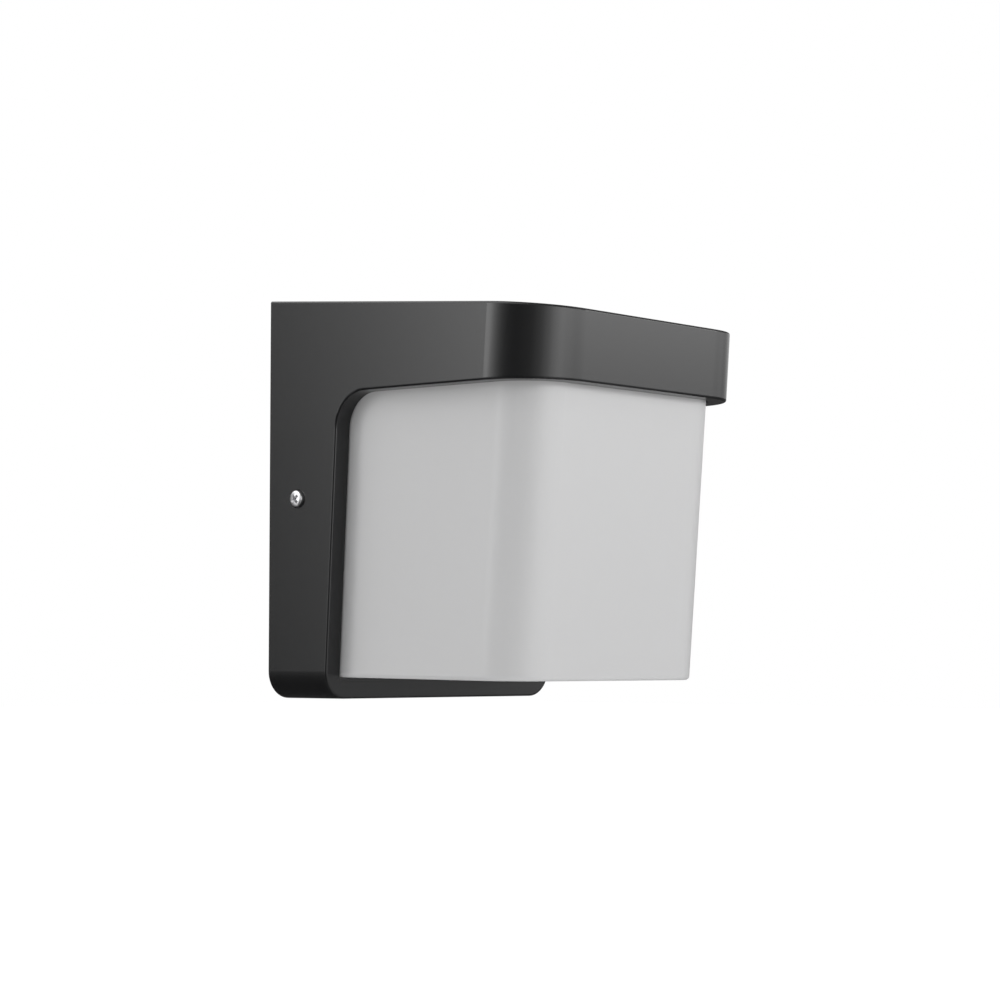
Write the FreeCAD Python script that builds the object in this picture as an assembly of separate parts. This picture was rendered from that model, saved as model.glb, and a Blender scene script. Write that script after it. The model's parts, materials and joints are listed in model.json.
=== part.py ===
"""Outdoor wall lantern: a black back box and roof in one moulding, with an opal box diffuser under the roof.

Frame: +X to the right, +Y into the wall, +Z up. The wall is the plane y = 0, and the origin is the middle of the
two wall slots. Lengths are in millimetres. Inside this file a place is given by x, by its depth in front of the
wall and by its height above the housing's lower edge; export() moves the heights to the frame.

The cover (housing and diffuser) pulls straight off the wall plate once its two side screws are loosened.
"""
import FreeCAD, Part

import math
import os

V = FreeCAD.Vector

# ---- Overall sizes -----------------------------------------------------------------------------------------
WIDTH = 145.0
HEIGHT = 178.0
ROOF_DEPTH = 160.1              # wall to the foot of the roof's front face
ROOF_FALL = 16.2                # height lost by the roof's top from the wall to its front edge
ROOF_FRONT = 30.3               # height of the roof's front face
ROOF_FRONT_LEAN = 0.076         # depth gained per unit of height on the front face
ROOF_UNDER_RISE = 0.018         # height gained per unit of depth, towards the wall, on the roof's underside
ROOF_CORNER = 29.0              # plan radius of the roof's two front corners
BOX_DEPTH = 36.8                # wall to the back box's front face, at the lower edge
BOX_LEAN = 0.053                # depth gained per unit of height on the back box's front face
BOX_CORNER = 12.0               # radius of the back box's lower corners, seen from the front
NOOK_RADIUS = 16.0              # radius where the back box turns into the roof's underside
WALL = 2.5                      # housing wall
EDGE = 1.0                      # small round on the housing's outer edges

# ---- Diffuser ----------------------------------------------------------------------------------------------
INSET = 9.0                     # housing's outer face to the diffuser's outer face, at the sides and the front
DIFFUSER_SET_BACK = 10.3        # depth lost by the diffuser's front face from the roof to its foot
DIFFUSER_FOOT = 9.4             # height of the diffuser's floor where it meets the back box
DIFFUSER_FLOOR_FALL = 0.013     # height lost per unit of depth on the diffuser's floor
DIFFUSER_WALL = 2.2
DIFFUSER_EDGE = 2.0             # round on the diffuser's lower outer edge
WINDOW_GAP = 0.85               # diffuser to the edge of its window in the housing
GASKET = 1.0                    # gasket between housing and diffuser flange
FLANGE = 2.2                    # thickness of the diffuser's flange
FLANGE_GAP = 0.2                # flange to the clip bosses

# ---- Clips that hold the diffuser --------------------------------------------------------------------------
CLIP_THICKNESS = 1.0
CLIP_WIDTH = 9.0
CLIP_SCREW_R = 1.25
CLIP_HEAD_R = 2.2
CLIP_HEAD = 1.4
CLIP_BOSS_R = 2.3
CLIP_HEIGHTS = (30.0, 100.0)    # along the back box's front
CLIP_FROM_BOX = 38.2            # back box's front to the first clip under the roof
CLIP_FROM_FRONT = 40.1          # last clip to the roof's front

# ---- Side screws -------------------------------------------------------------------------------------------
SCREW_HEIGHT = 88.0
SCREW_DEPTH = 18.7
SCREW_R = 2.0
SCREW_HOLE_GAP = 0.25
SCREW_LENGTH = 12.0
SCREW_HEAD_R = 3.65
SCREW_HEAD = 2.4
COUNTERBORE_GAP = 0.6           # screw head to the counterbore's wall
COUNTERBORE = 1.2
WASHER_GAP = 0.15               # washer to the counterbore's wall
WASHER = 0.8
NUT_SIDE = 7.0
NUT = 2.2
THREAD_GAP = 0.05

# ---- Wall plate --------------------------------------------------------------------------------------------
PLATE = 3.0
PLATE_GAP = 3.0                 # plate edge to the housing's inner face
PLATE_CORNER = 6.0
BOSS = 3.0                      # height of the plate's screw bosses
BOSS_R = 5.0
BLIND = 1.0                     # metal left under a blind screw hole
SLOT_HEIGHT = 89.0              # height of the wall slots, and of the origin
SLOT_SPACING = 80.0
SLOT_LENGTH = 12.0
SLOT_R = 2.5
EAR = 1.5                       # thickness of the side ears
EAR_GAP = 0.2                   # ear to the housing's inner face
EAR_LIP = 7.3                   # ear in front of the screw's axis
EAR_WIDTH = 18.0
EAR_FOOT = 12.0                 # ear's foot on the plate
BRIDGE = 4.0                    # wall of the nut bridges moulded in the housing
GROMMET_DROP = 21.0             # housing's upper edge down to the cable hole
GROMMET_WALL = 3.5
GROMMET_LIP = 2.0
CABLE_R = 4.0

# ---- Rim seal ----------------------------------------------------------------------------------------------
SEAL_WIDTH = 1.3
SEAL_DEPTH = 1.6

# ---- Terminal block and leads ------------------------------------------------------------------------------
BLOCK_DROP = 32.0                   # cable hole down to the block's middle
POLE_PITCH = 11.0
BLOCK_END = 1.5                     # block past its outer poles' half pitch
BLOCK_DEPTH = 14.0
BLOCK_RISE = 17.0
POLE_DEPTH = 7.0                    # block back to the pole axes
SLEEVE_R = 2.4
SLEEVE_BORE_R = 1.5
SLEEVE_LENGTH = 15.0
POLE_SCREW_R = 1.8
POLE_SCREW_SPREAD = 4.0             # pole screws above and below the block's middle
BLOCK_SCREW_R = 1.5
LEAD_R = 1.2
EARTH_X = 34.0
EARTH_DROP = 21.0                   # block's middle down to the earth screw

# ---- Lampholder --------------------------------------------------------------------------------------------
LAMP_HEIGHT = 70.5
BRACKET = 1.2
BRACKET_HALF = 18.0                 # half width of the raised table
BRACKET_FOOT_X = 23.0
BRACKET_WIDTH = 24.0
TABLE_DEPTH = 11.0
HOLDER_R = 20.0
HOLDER_NOSE_R = 17.5
HOLDER_FRONT = 50.0
HOLDER_FLOOR = 21.0
HOLDER_SHELL = 0.45
HOLDER_SCREW_X = 10.0
M3_R = 1.5
M4_R = 2.0
TERMINAL_X = 6.0                    # push-in terminals, either side of the middle
TERMINAL_DEPTH = 16.0

# ---- Bulb --------------------------------------------------------------------------------------------------
BULB_FRONT_GAP = 8.05               # bulb's tip to the diffuser's foot, inside
BULB_TIP_GAP = 0.05                 # bulb's centre contact to the holder's spring
CAP_R = 13.2
CAP_GAP = 0.05
CAP_SKIN = 0.4
GLOBE_R = 30.0
GLOBE_WALL = 1.2
GLOBE_JOINT = 17.0                  # globe centre back to the joint with the bulb's housing
CONE_NECK = 0.24                    # straight part of the bulb's housing, as a share of its own length
CONE_RIM = 0.27                     # part behind the joint, as a share of its own length
NECK_LEDGE = 1.0                    # the bulb's neck past its cap
LED_COUNT = 12
LED_RING_R = 15.0

# ---- Reflector ---------------------------------------------------------------------------------------------
REFLECTOR_DEPTH = 26.0
REFLECTOR = 1.0
REFLECTOR_GAP = 10.0                # reflector edge to the housing's inner face
REFLECTOR_HOLE_GAP = 2.0
PILLAR_R = 3.0
PILLAR_IN = 10.0                    # pillar axis in from the reflector's side edges
PILLAR_UP = 17.5                    # pillar axis in from the reflector's lower and upper edges

FAR = 400.0                         # longer than anything here
CORNER_ANGLE = math.radians(5)      # faces that meet at less than this run into each other


# ---- Small helpers -----------------------------------------------------------------------------------------
def at(x, depth, height):
    """A point from its x, its depth in front of the wall and its height above the housing's lower edge."""
    return V(x, -depth, height)


def rounded_face(corners, radii, to_point):
    """A flat face from 2D corners, with a round of radii[i] at corner i; to_point maps (u, v) into space."""
    count = len(corners)
    spots = [V(u, v, 0) for u, v in corners]
    bends = []
    for index, here in enumerate(spots):
        radius = radii.get(index, 0.0)
        if radius == 0.0:
            bends.append((here,))
            continue
        back = (spots[index - 1] - here).normalize()
        ahead = (spots[(index + 1) % count] - here).normalize()
        half = back.getAngle(ahead) / 2
        reach = radius / math.tan(half)
        middle = here + (back + ahead).normalize() * (radius / math.sin(half) - radius)
        bends.append((here + back * reach, middle, here + ahead * reach))
    edges = []
    for index, bend in enumerate(bends):
        start = [to_point(p.x, p.y) for p in bend]
        following = to_point(bends[(index + 1) % count][0].x, bends[(index + 1) % count][0].y)
        if len(start) == 3:
            edges.append(Part.Arc(*start).toShape())
        edges.append(Part.LineSegment(start[-1], following).toShape())
    return Part.Face(Part.Wire(edges))


def side_prism(corners, radii, half_width):
    """Solid with a side outline of (depth, height) corners, from -half_width to +half_width."""
    face = rounded_face(corners, radii, lambda u, v: at(-half_width, u, v))
    return face.extrude(V(2 * half_width, 0, 0))


def plan_prism(corners, radii, low, high, lean):
    """Solid with a plan outline of (x, depth) corners, from low to high, that gains depth as it rises."""
    face = rounded_face(corners, radii, lambda u, v: at(u, v, low))
    return face.extrude(V(0, -lean * (high - low), high - low))


def front_prism(corners, radii, near, far):
    """Solid with a front outline of (x, height) corners, from depth near to depth far."""
    face = rounded_face(corners, radii, lambda u, v: at(u, near, v))
    return face.extrude(V(0, near - far, 0))


def rectangle(left, right, low, high):
    """Corners of a rectangle, counter-clockwise from the lower left."""
    return [(left, low), (right, low), (right, high), (left, high)]


def inset(corners, amounts):
    """Move side i of a counter-clockwise outline, from corner i to the next, inwards by amounts[i]."""
    count = len(corners)
    lines = []
    for index, (u, v) in enumerate(corners):
        next_u, next_v = corners[(index + 1) % count]
        length = math.hypot(next_u - u, next_v - v)
        along = ((next_u - u) / length, (next_v - v) / length)
        lines.append((u - along[1] * amounts[index], v + along[0] * amounts[index], *along))
    moved = []
    for index in range(count):
        u1, v1, du1, dv1 = lines[index - 1]
        u2, v2, du2, dv2 = lines[index]
        reach = ((u2 - u1) * dv2 - (v2 - v1) * du2) / (du1 * dv2 - dv1 * du2)
        moved.append((u1 + du1 * reach, v1 + dv1 * reach))
    return moved


def block(x_range, depth_range, height_range):
    """An upright box between two x values, two depths and two heights."""
    (x0, x1), (d0, d1), (h0, h1) = x_range, depth_range, height_range
    return Part.makeBox(x1 - x0, d1 - d0, h1 - h0, at(x0, d1, h0))


def rod(radius, start, end):
    """A round bar between two points."""
    return Part.makeCylinder(radius, (end - start).Length, start, end - start)


def forward_rod(radius, x, height, near, far):
    """A round bar square to the wall, from depth near to depth far."""
    return rod(radius, at(x, near, height), at(x, far, height))


def turned(profile):
    """A solid of revolution about the bulb's axis from (radius, depth) corners."""
    points = [at(radius, depth, LAMP_HEIGHT) for radius, depth in profile]
    face = Part.Face(Part.makePolygon(points + points[:1]))
    return face.revolve(at(0, 0, LAMP_HEIGHT), V(0, 1, 0), 360)


def fused(shapes):
    """One clean solid from shapes that touch or overlap."""
    return shapes[0].multiFuse(shapes[1:]).removeSplitter()


def both_sides(shape):
    """A shape and its mirror image left to right."""
    return [shape, shape.mirror(V(0, 0, 0), V(1, 0, 0))]


def outer_edges(shape, keep):
    """The edges of shape whose middle point passes the test keep."""
    return [edge for edge in shape.Edges if keep(edge.valueAt(sum(edge.ParameterRange) / 2))]


def cross_recess(centre, direction, size, depth):
    """The cross-shaped cutter of a screw's recess, sunk by depth along direction from centre."""
    blade = Part.makeBox(size, size * 0.24, depth, V(-size / 2, -size * 0.12, 0))
    cross = blade.fuse(blade.rotated(V(0, 0, 0), V(0, 0, 1), 90))
    cross.Placement = FreeCAD.Placement(centre, FreeCAD.Rotation(V(0, 0, 1), direction))
    return cross


def pan_screw(seat, direction, shank_r, length, head_r, head):
    """A cross-recessed pan-head screw: seat is under the head, and direction is the way the shank points."""
    out = direction * -1
    tip = rod(shank_r, seat, seat + direction * length)
    top = Part.makeCylinder(head_r, head, seat, out)
    rim = outer_edges(top, lambda p: abs((p - seat).dot(out) - head) < 1e-6)
    top = top.makeFillet(head * 0.6, rim)
    recess = cross_recess(seat + out * head, direction, head_r * 1.15, head * 0.55)
    return tip.fuse(top).removeSplitter().cut(recess)


# ---- Shared outlines ---------------------------------------------------------------------------------------
ROOF_FRONT_TOP = HEIGHT - ROOF_FALL
ROOF_FRONT_FOOT = ROOF_FRONT_TOP - ROOF_FRONT
DIFFUSER_TOP_DEPTH = ROOF_DEPTH - INSET
DIFFUSER_FOOT_DEPTH = DIFFUSER_TOP_DEPTH - DIFFUSER_SET_BACK
SCREW_HOLE_R = SCREW_R + SCREW_HOLE_GAP
COUNTERBORE_R = SCREW_HEAD_R + COUNTERBORE_GAP
WASHER_R = COUNTERBORE_R - WASHER_GAP
EAR_REACH = SCREW_DEPTH + EAR_LIP
GROMMET_R = CABLE_R + GROMMET_WALL
GROMMET_LIP_R = GROMMET_R + GROMMET_LIP
GROMMET_HEIGHT = HEIGHT - GROMMET_DROP
BLOCK_HEIGHT = GROMMET_HEIGHT - BLOCK_DROP
BLOCK_SIZE = (3 * POLE_PITCH + 2 * BLOCK_END, BLOCK_DEPTH, BLOCK_RISE)      # width, depth, height
EARTH_HEIGHT = BLOCK_HEIGHT - EARTH_DROP
BULB_NECK_R = CAP_R + NECK_LEDGE
REFLECTOR_HOLE_R = HOLDER_R + REFLECTOR_HOLE_GAP
HALF = WIDTH / 2
INNER_HALF = HALF - WALL
DIFFUSER_HALF = HALF - INSET
PILLAR_X = INNER_HALF - REFLECTOR_GAP - PILLAR_IN
PILLAR_HEIGHTS = (WALL + REFLECTOR_GAP + PILLAR_UP, HEIGHT - WALL - REFLECTOR_GAP - PILLAR_UP)
ROOF_TOP_DEPTH = ROOF_DEPTH + ROOF_FRONT_LEAN * (ROOF_FRONT_TOP - ROOF_FRONT_FOOT)


def nook_corner():
    """Where the back box's front face would meet the roof's underside, as (depth, height)."""
    height = (ROOF_FRONT_FOOT + ROOF_UNDER_RISE * (ROOF_DEPTH - BOX_DEPTH)) / (1 + ROOF_UNDER_RISE * BOX_LEAN)
    return BOX_DEPTH + BOX_LEAN * height, height


NOOK = nook_corner()
SIDE = [(0, 0), (BOX_DEPTH, 0), NOOK, (ROOF_DEPTH, ROOF_FRONT_FOOT), (ROOF_TOP_DEPTH, ROOF_FRONT_TOP), (0, HEIGHT)]


def nook_space(grow):
    """The space in front of the back box and under the roof, grown into the housing by grow."""
    below = (NOOK[0] - BOX_LEAN * FAR, NOOK[1] - FAR)
    ahead = (NOOK[0] + FAR, NOOK[1] - ROOF_UNDER_RISE * FAR)
    corners = [below, (ahead[0], below[1]), ahead, NOOK]
    grown = inset(corners, [0, 0, -grow, -grow])
    return side_prism(grown, {3: NOOK_RADIUS + grow}, FAR)


def shell_space(wall):
    """The housing's outer form, moved inwards by wall; with a wall it runs out through the wall plane."""
    back = -FAR / 10 if wall else 0
    sides = side_prism(inset(SIDE, [wall] * 5 + [back]), {2: NOOK_RADIUS + wall}, HALF - wall)
    low = -FAR / 10
    foot = ROOF_DEPTH - wall - ROOF_FRONT_LEAN * (ROOF_FRONT_FOOT - low)
    plan = plan_prism(rectangle(-HALF + wall, HALF - wall, -FAR, foot),
                      {2: ROOF_CORNER - wall, 3: ROOF_CORNER - wall}, low, HEIGHT + FAR / 10, ROOF_FRONT_LEAN)
    front = front_prism(rectangle(-HALF + wall, HALF - wall, wall, HEIGHT + FAR / 10),
                        {0: BOX_CORNER - wall, 1: BOX_CORNER - wall}, -FAR, FAR)
    return sides.common(plan).common(front)


def diffuser_space(grow):
    """The diffuser's outer form, grown by grow and open-ended towards the wall and upwards."""
    low = -FAR / 10
    lean = DIFFUSER_SET_BACK / (ROOF_FRONT_FOOT - DIFFUSER_FOOT)
    foot = DIFFUSER_FOOT_DEPTH + grow - lean * (DIFFUSER_FOOT - low)
    corner = ROOF_CORNER - INSET + grow
    plan = plan_prism(rectangle(-DIFFUSER_HALF - grow, DIFFUSER_HALF + grow, -FAR / 10, foot),
                      {2: corner, 3: corner}, low, HEIGHT, lean)
    floor = [(depth, DIFFUSER_FOOT - grow - DIFFUSER_FLOOR_FALL * (depth - BOX_DEPTH)) for depth in (-FAR, FAR)]
    return plan.common(side_prism(floor + [(FAR, FAR), (-FAR, FAR)], {}, FAR))


# ---- Cover: housing, seal, diffuser ------------------------------------------------------------------------
def nut_bridges():
    """Moulded bridges inside the housing: each holds a square nut behind an ear of the wall plate."""
    ear_inner = INNER_HALF - EAR_GAP - EAR
    nut_outer = ear_inner - THREAD_GAP * 2
    nut_inner = nut_outer - NUT
    half_tunnel = EAR_WIDTH / 2 + 4 * EAR_GAP
    near, far = SCREW_DEPTH - NUT_SIDE / 2 - BRIDGE / 2, SCREW_DEPTH + NUT_SIDE / 2 + BRIDGE / 2
    body = block((nut_inner - BRIDGE / 2, INNER_HALF + WALL / 2), (near, far),
                 (SCREW_HEIGHT - half_tunnel - BRIDGE, SCREW_HEIGHT + half_tunnel + BRIDGE))
    tunnel = block((nut_outer, INNER_HALF), (near - 1, far + 1),
                   (SCREW_HEIGHT - half_tunnel, SCREW_HEIGHT + half_tunnel))
    half_nut = NUT_SIDE / 2 + THREAD_GAP
    pocket = block((nut_inner - THREAD_GAP, nut_outer), (near - 1, SCREW_DEPTH + half_nut),
                   (SCREW_HEIGHT - half_nut, SCREW_HEIGHT + half_nut))
    return both_sides(body.cut(tunnel).cut(pocket))


def clip_frames():
    """One placement per diffuser clip: local z leaves the housing's inner face, local x points outwards."""
    frames = []
    slope = math.atan(BOX_LEAN)
    for height in CLIP_HEIGHTS:
        foot = at(0, BOX_DEPTH + BOX_LEAN * height - WALL / math.cos(slope), height)
        frames.append((foot, V(0, math.cos(slope), math.sin(slope))))
    slope = math.atan(ROOF_UNDER_RISE)
    for depth in CLIP_DEPTHS:
        under = ROOF_FRONT_FOOT + ROOF_UNDER_RISE * (ROOF_DEPTH - depth) + WALL / math.cos(slope)
        frames.append((at(0, depth, under), V(0, -math.sin(slope), math.cos(slope))))
    placed = []
    for foot, normal in frames:
        rotation = FreeCAD.Rotation(V(1, 0, 0), normal.cross(V(1, 0, 0)), normal, "ZXY")
        placed.append(FreeCAD.Placement(foot, rotation))
    return placed


CLIP_DEPTHS = (BOX_DEPTH + CLIP_FROM_BOX, ROOF_DEPTH - CLIP_FROM_FRONT)
CLIP_SCREW_X = INNER_HALF - CLIP_BOSS_R + EDGE / 2
CLIP_SEAT = GASKET + FLANGE
FLANGE_LAP = CLIP_SCREW_X - CLIP_BOSS_R - FLANGE_GAP - DIFFUSER_HALF    # flange past the diffuser's outer face


def at_clips(make):
    """The solid that make() builds in a clip's own frame, at every clip on both sides."""
    shapes = []
    for placement in clip_frames():
        shape = make()
        shape.Placement = placement
        shapes += both_sides(shape)
    return shapes


def clip_boss():
    """The boss that a clip screw goes into, run into the housing's side wall."""
    boss = Part.makeCylinder(CLIP_BOSS_R, CLIP_SEAT + WALL / 2, V(CLIP_SCREW_X, 0, -WALL / 2))
    web = Part.makeBox(HALF - WALL / 2 - CLIP_SCREW_X, 2 * CLIP_BOSS_R, CLIP_SEAT + WALL / 2,
                       V(CLIP_SCREW_X, -CLIP_BOSS_R, -WALL / 2))
    return boss.fuse(web).cut(Part.makeCylinder(CLIP_SCREW_R, CLIP_SEAT + 1, V(CLIP_SCREW_X, 0, 0)))


def clip():
    """A flat steel clip that rests on the boss and the diffuser's flange."""
    left = DIFFUSER_HALF - DIFFUSER_WALL / 2
    plate = Part.makeBox(INNER_HALF - EAR_GAP - left, CLIP_WIDTH, CLIP_THICKNESS,
                         V(left, -CLIP_WIDTH / 2, CLIP_SEAT))
    return plate.cut(Part.makeCylinder(CLIP_SCREW_R + THREAD_GAP, FAR, V(CLIP_SCREW_X, 0, 0)))


def clip_screw():
    """The small screw of a clip."""
    seat = V(CLIP_SCREW_X, 0, CLIP_SEAT + CLIP_THICKNESS)
    length = CLIP_THICKNESS + CLIP_SEAT - THREAD_GAP
    head_r = min(CLIP_HEAD_R, INNER_HALF - CLIP_SCREW_X - THREAD_GAP)
    return pan_screw(seat, V(0, 0, -1), CLIP_SCREW_R, length, head_r, CLIP_HEAD)


def seal_outline(step):
    """The rim's front outline, moved inwards by step."""
    return (rectangle(-HALF + step, HALF - step, step, HEIGHT - step),
            {0: BOX_CORNER - step, 1: BOX_CORNER - step})


def make_rim_seal():
    """The seal strip that lies in the housing's rim, flush with the wall plane."""
    step = (WALL - SEAL_WIDTH) / 2
    outer = front_prism(*seal_outline(step), 0, SEAL_DEPTH)
    return outer.cut(front_prism(*seal_outline(step + SEAL_WIDTH), -1, SEAL_DEPTH + 1))


def make_housing():
    """Back box and roof in one moulding, open at the wall, with a window for the diffuser."""
    outer = shell_space(0)
    off_wall = outer_edges(outer, lambda p: -p.y > EDGE)
    outer = outer.makeFillet(EDGE, [edge for edge in off_wall if is_corner(outer, edge)])
    shell = outer.cut(shell_space(WALL))
    window = diffuser_space(WINDOW_GAP).common(nook_space(WALL + 1))
    shell = shell.cut(window)
    shell = fused([shell] + nut_bridges() + at_clips(clip_boss))
    for side in (-1, 1):
        out = at(side * (HALF + 1), SCREW_DEPTH, SCREW_HEIGHT)
        shell = shell.cut(rod(SCREW_HOLE_R, out, at(side * HALF / 2, SCREW_DEPTH, SCREW_HEIGHT)))
        shell = shell.cut(rod(COUNTERBORE_R, out, at(side * (HALF - COUNTERBORE), SCREW_DEPTH, SCREW_HEIGHT)))
    return shell.cut(make_rim_seal())


def is_corner(shape, edge):
    """True where the two faces at an edge meet at an angle, rather than run into each other smoothly."""
    point = edge.valueAt(sum(edge.ParameterRange) / 2)
    normals = [face.normalAt(*face.Surface.parameter(point)) for face in shape.ancestorsOfType(edge, Part.Face)]
    return len(normals) == 2 and normals[0].getAngle(normals[1]) > CORNER_ANGLE


def make_diffuser():
    """Opal box, open towards the wall and the roof, with a flange that seats behind the window's edge."""
    body = diffuser_space(0).common(nook_space(WALL + GASKET + FLANGE))
    foot = DIFFUSER_FOOT + EDGE
    body = body.makeFillet(DIFFUSER_EDGE, outer_edges(body, lambda p: p.z < foot and -p.y > BOX_DEPTH + 1))
    lap = diffuser_space(FLANGE_LAP)
    flange = lap.common(nook_space(WALL + GASKET + FLANGE).cut(nook_space(WALL + GASKET)))
    hollow = diffuser_space(-DIFFUSER_WALL).common(nook_space(FAR / 10))
    return fused([body, flange]).cut(hollow)


def make_gasket():
    """Flat gasket between the housing's inner face and the diffuser's flange."""
    layer = nook_space(WALL + GASKET).cut(nook_space(WALL))
    return diffuser_space(FLANGE_LAP).common(layer).cut(diffuser_space(WINDOW_GAP))


def make_square_nuts():
    """The two captive nuts behind the ears."""
    outer = INNER_HALF - EAR_GAP - EAR - THREAD_GAP * 2
    nut = block((outer - NUT, outer), (SCREW_DEPTH - NUT_SIDE / 2, SCREW_DEPTH + NUT_SIDE / 2),
                (SCREW_HEIGHT - NUT_SIDE / 2, SCREW_HEIGHT + NUT_SIDE / 2))
    bore = rod(SCREW_R + THREAD_GAP, at(0, SCREW_DEPTH, SCREW_HEIGHT), at(HALF, SCREW_DEPTH, SCREW_HEIGHT))
    return both_sides(nut.cut(bore))


def make_sealing_washer(side):
    """The soft washer in the counterbore."""
    floor = at(side * (HALF - COUNTERBORE), SCREW_DEPTH, SCREW_HEIGHT)
    top = at(side * (HALF - COUNTERBORE + WASHER), SCREW_DEPTH, SCREW_HEIGHT)
    return rod(WASHER_R, floor, top).cut(rod(SCREW_R + THREAD_GAP, floor, top))


def make_cover_screw(side):
    """The screw that holds the cover, seen at mid height on each side face."""
    seat = at(side * (HALF - COUNTERBORE + WASHER), SCREW_DEPTH, SCREW_HEIGHT)
    return pan_screw(seat, V(-side, 0, 0), SCREW_R, SCREW_LENGTH, SCREW_HEAD_R, SCREW_HEAD)


# ---- Wall side ---------------------------------------------------------------------------------------------
def make_side_ears():
    """The two folded ears on the plate, each with a notch open to the front for the side screw."""
    outer = INNER_HALF - EAR_GAP
    inner = outer - EAR
    low, high = SCREW_HEIGHT - EAR_WIDTH / 2, SCREW_HEIGHT + EAR_WIDTH / 2
    corners = [(outer - EAR_FOOT, PLATE), (outer, PLATE), (outer, EAR_REACH), (inner, EAR_REACH),
               (inner, PLATE + EAR), (outer - EAR_FOOT, PLATE + EAR)]
    shape = plan_prism(corners, {1: 1.6 * EAR, 4: 0.6 * EAR}, low, high, 0)
    notch_r = SCREW_HOLE_R
    notch = rod(notch_r, at(inner - 1, SCREW_DEPTH, SCREW_HEIGHT), at(outer + 1, SCREW_DEPTH, SCREW_HEIGHT))
    mouth = block((inner - 1, outer + 1), (SCREW_DEPTH, EAR_REACH + 1),
                  (SCREW_HEIGHT - notch_r, SCREW_HEIGHT + notch_r))
    return both_sides(shape.cut(notch.fuse(mouth)))


def blind_hole(radius, x, height, top):
    """A blind screw hole in the plate from depth top."""
    return forward_rod(radius, x, height, BLIND, top + 1)


def make_wall_plate():
    """Cast plate with screw bosses, wall slots and the cable hole."""
    edge = INNER_HALF - PLATE_GAP
    low, high = WALL + PLATE_GAP, HEIGHT - WALL - PLATE_GAP
    plate = front_prism(rectangle(-edge, edge, low, high), {i: PLATE_CORNER for i in range(4)}, 0, PLATE)
    half_w, half_h = BLOCK_SIZE[0] / 2 + 1, BLOCK_SIZE[2] / 2 + 1
    bosses = [block((-half_w, half_w), (0, PLATE + BOSS), (BLOCK_HEIGHT - half_h, BLOCK_HEIGHT + half_h))]
    bosses.append(forward_rod(BOSS_R, EARTH_X, EARTH_HEIGHT, 0, PLATE + BOSS))
    for x in (-BRACKET_FOOT_X, BRACKET_FOOT_X):
        bosses.append(forward_rod(BOSS_R, x, LAMP_HEIGHT, 0, PLATE + BOSS))
    for height in PILLAR_HEIGHTS:
        for x in (-PILLAR_X, PILLAR_X):
            bosses.append(forward_rod(BOSS_R, x, height, 0, PLATE + BOSS))
    plate = fused([plate] + bosses)
    top = PLATE + BOSS
    for x in (-SLOT_SPACING / 2, SLOT_SPACING / 2):
        reach = SLOT_LENGTH / 2 - SLOT_R
        for centre in (x - reach, x + reach):
            plate = plate.cut(forward_rod(SLOT_R, centre, SLOT_HEIGHT, -1, PLATE + 1))
        plate = plate.cut(block((x - reach, x + reach), (-1, PLATE + 1), (SLOT_HEIGHT - SLOT_R, SLOT_HEIGHT + SLOT_R)))
    plate = plate.cut(forward_rod(GROMMET_R, 0, GROMMET_HEIGHT, -1, top))
    plate = plate.cut(blind_hole(M4_R, EARTH_X, EARTH_HEIGHT, top))
    for x in (-BRACKET_FOOT_X, BRACKET_FOOT_X):
        plate = plate.cut(blind_hole(M4_R, x, LAMP_HEIGHT, top))
    for x in (-POLE_PITCH / 2, POLE_PITCH / 2):
        plate = plate.cut(blind_hole(BLOCK_SCREW_R, x, BLOCK_HEIGHT, top))
    for height in PILLAR_HEIGHTS:
        for x in (-PILLAR_X, PILLAR_X):
            plate = plate.cut(blind_hole(M3_R, x, height, top))
    return plate


def make_grommet():
    """Rubber grommet for the mains cable."""
    body = fused([forward_rod(GROMMET_R, 0, GROMMET_HEIGHT, 0, PLATE),
                  forward_rod(GROMMET_LIP_R, 0, GROMMET_HEIGHT, PLATE, PLATE + GROMMET_LIP),
                  Part.makeCone(GROMMET_R, CABLE_R + GROMMET_LIP, 2 * GROMMET_LIP,
                                at(0, PLATE + GROMMET_LIP, GROMMET_HEIGHT), V(0, -1, 0))])
    return body.cut(forward_rod(CABLE_R, 0, GROMMET_HEIGHT, -1, FAR))


BLOCK_BACK = PLATE + BOSS
BLOCK_FRONT = BLOCK_BACK + BLOCK_SIZE[1]
POLE_AXIS = BLOCK_BACK + POLE_DEPTH
POLE_XS = (-POLE_PITCH, 0.0, POLE_PITCH)
POLE_SCREW_SEAT = POLE_AXIS + SLEEVE_R
POLE_SCREW_TOP = BLOCK_FRONT - 2


def pole_spots():
    """The x and height of each pole screw."""
    return [(x, BLOCK_HEIGHT + rise) for x in POLE_XS for rise in (-POLE_SCREW_SPREAD, POLE_SCREW_SPREAD)]


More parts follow.
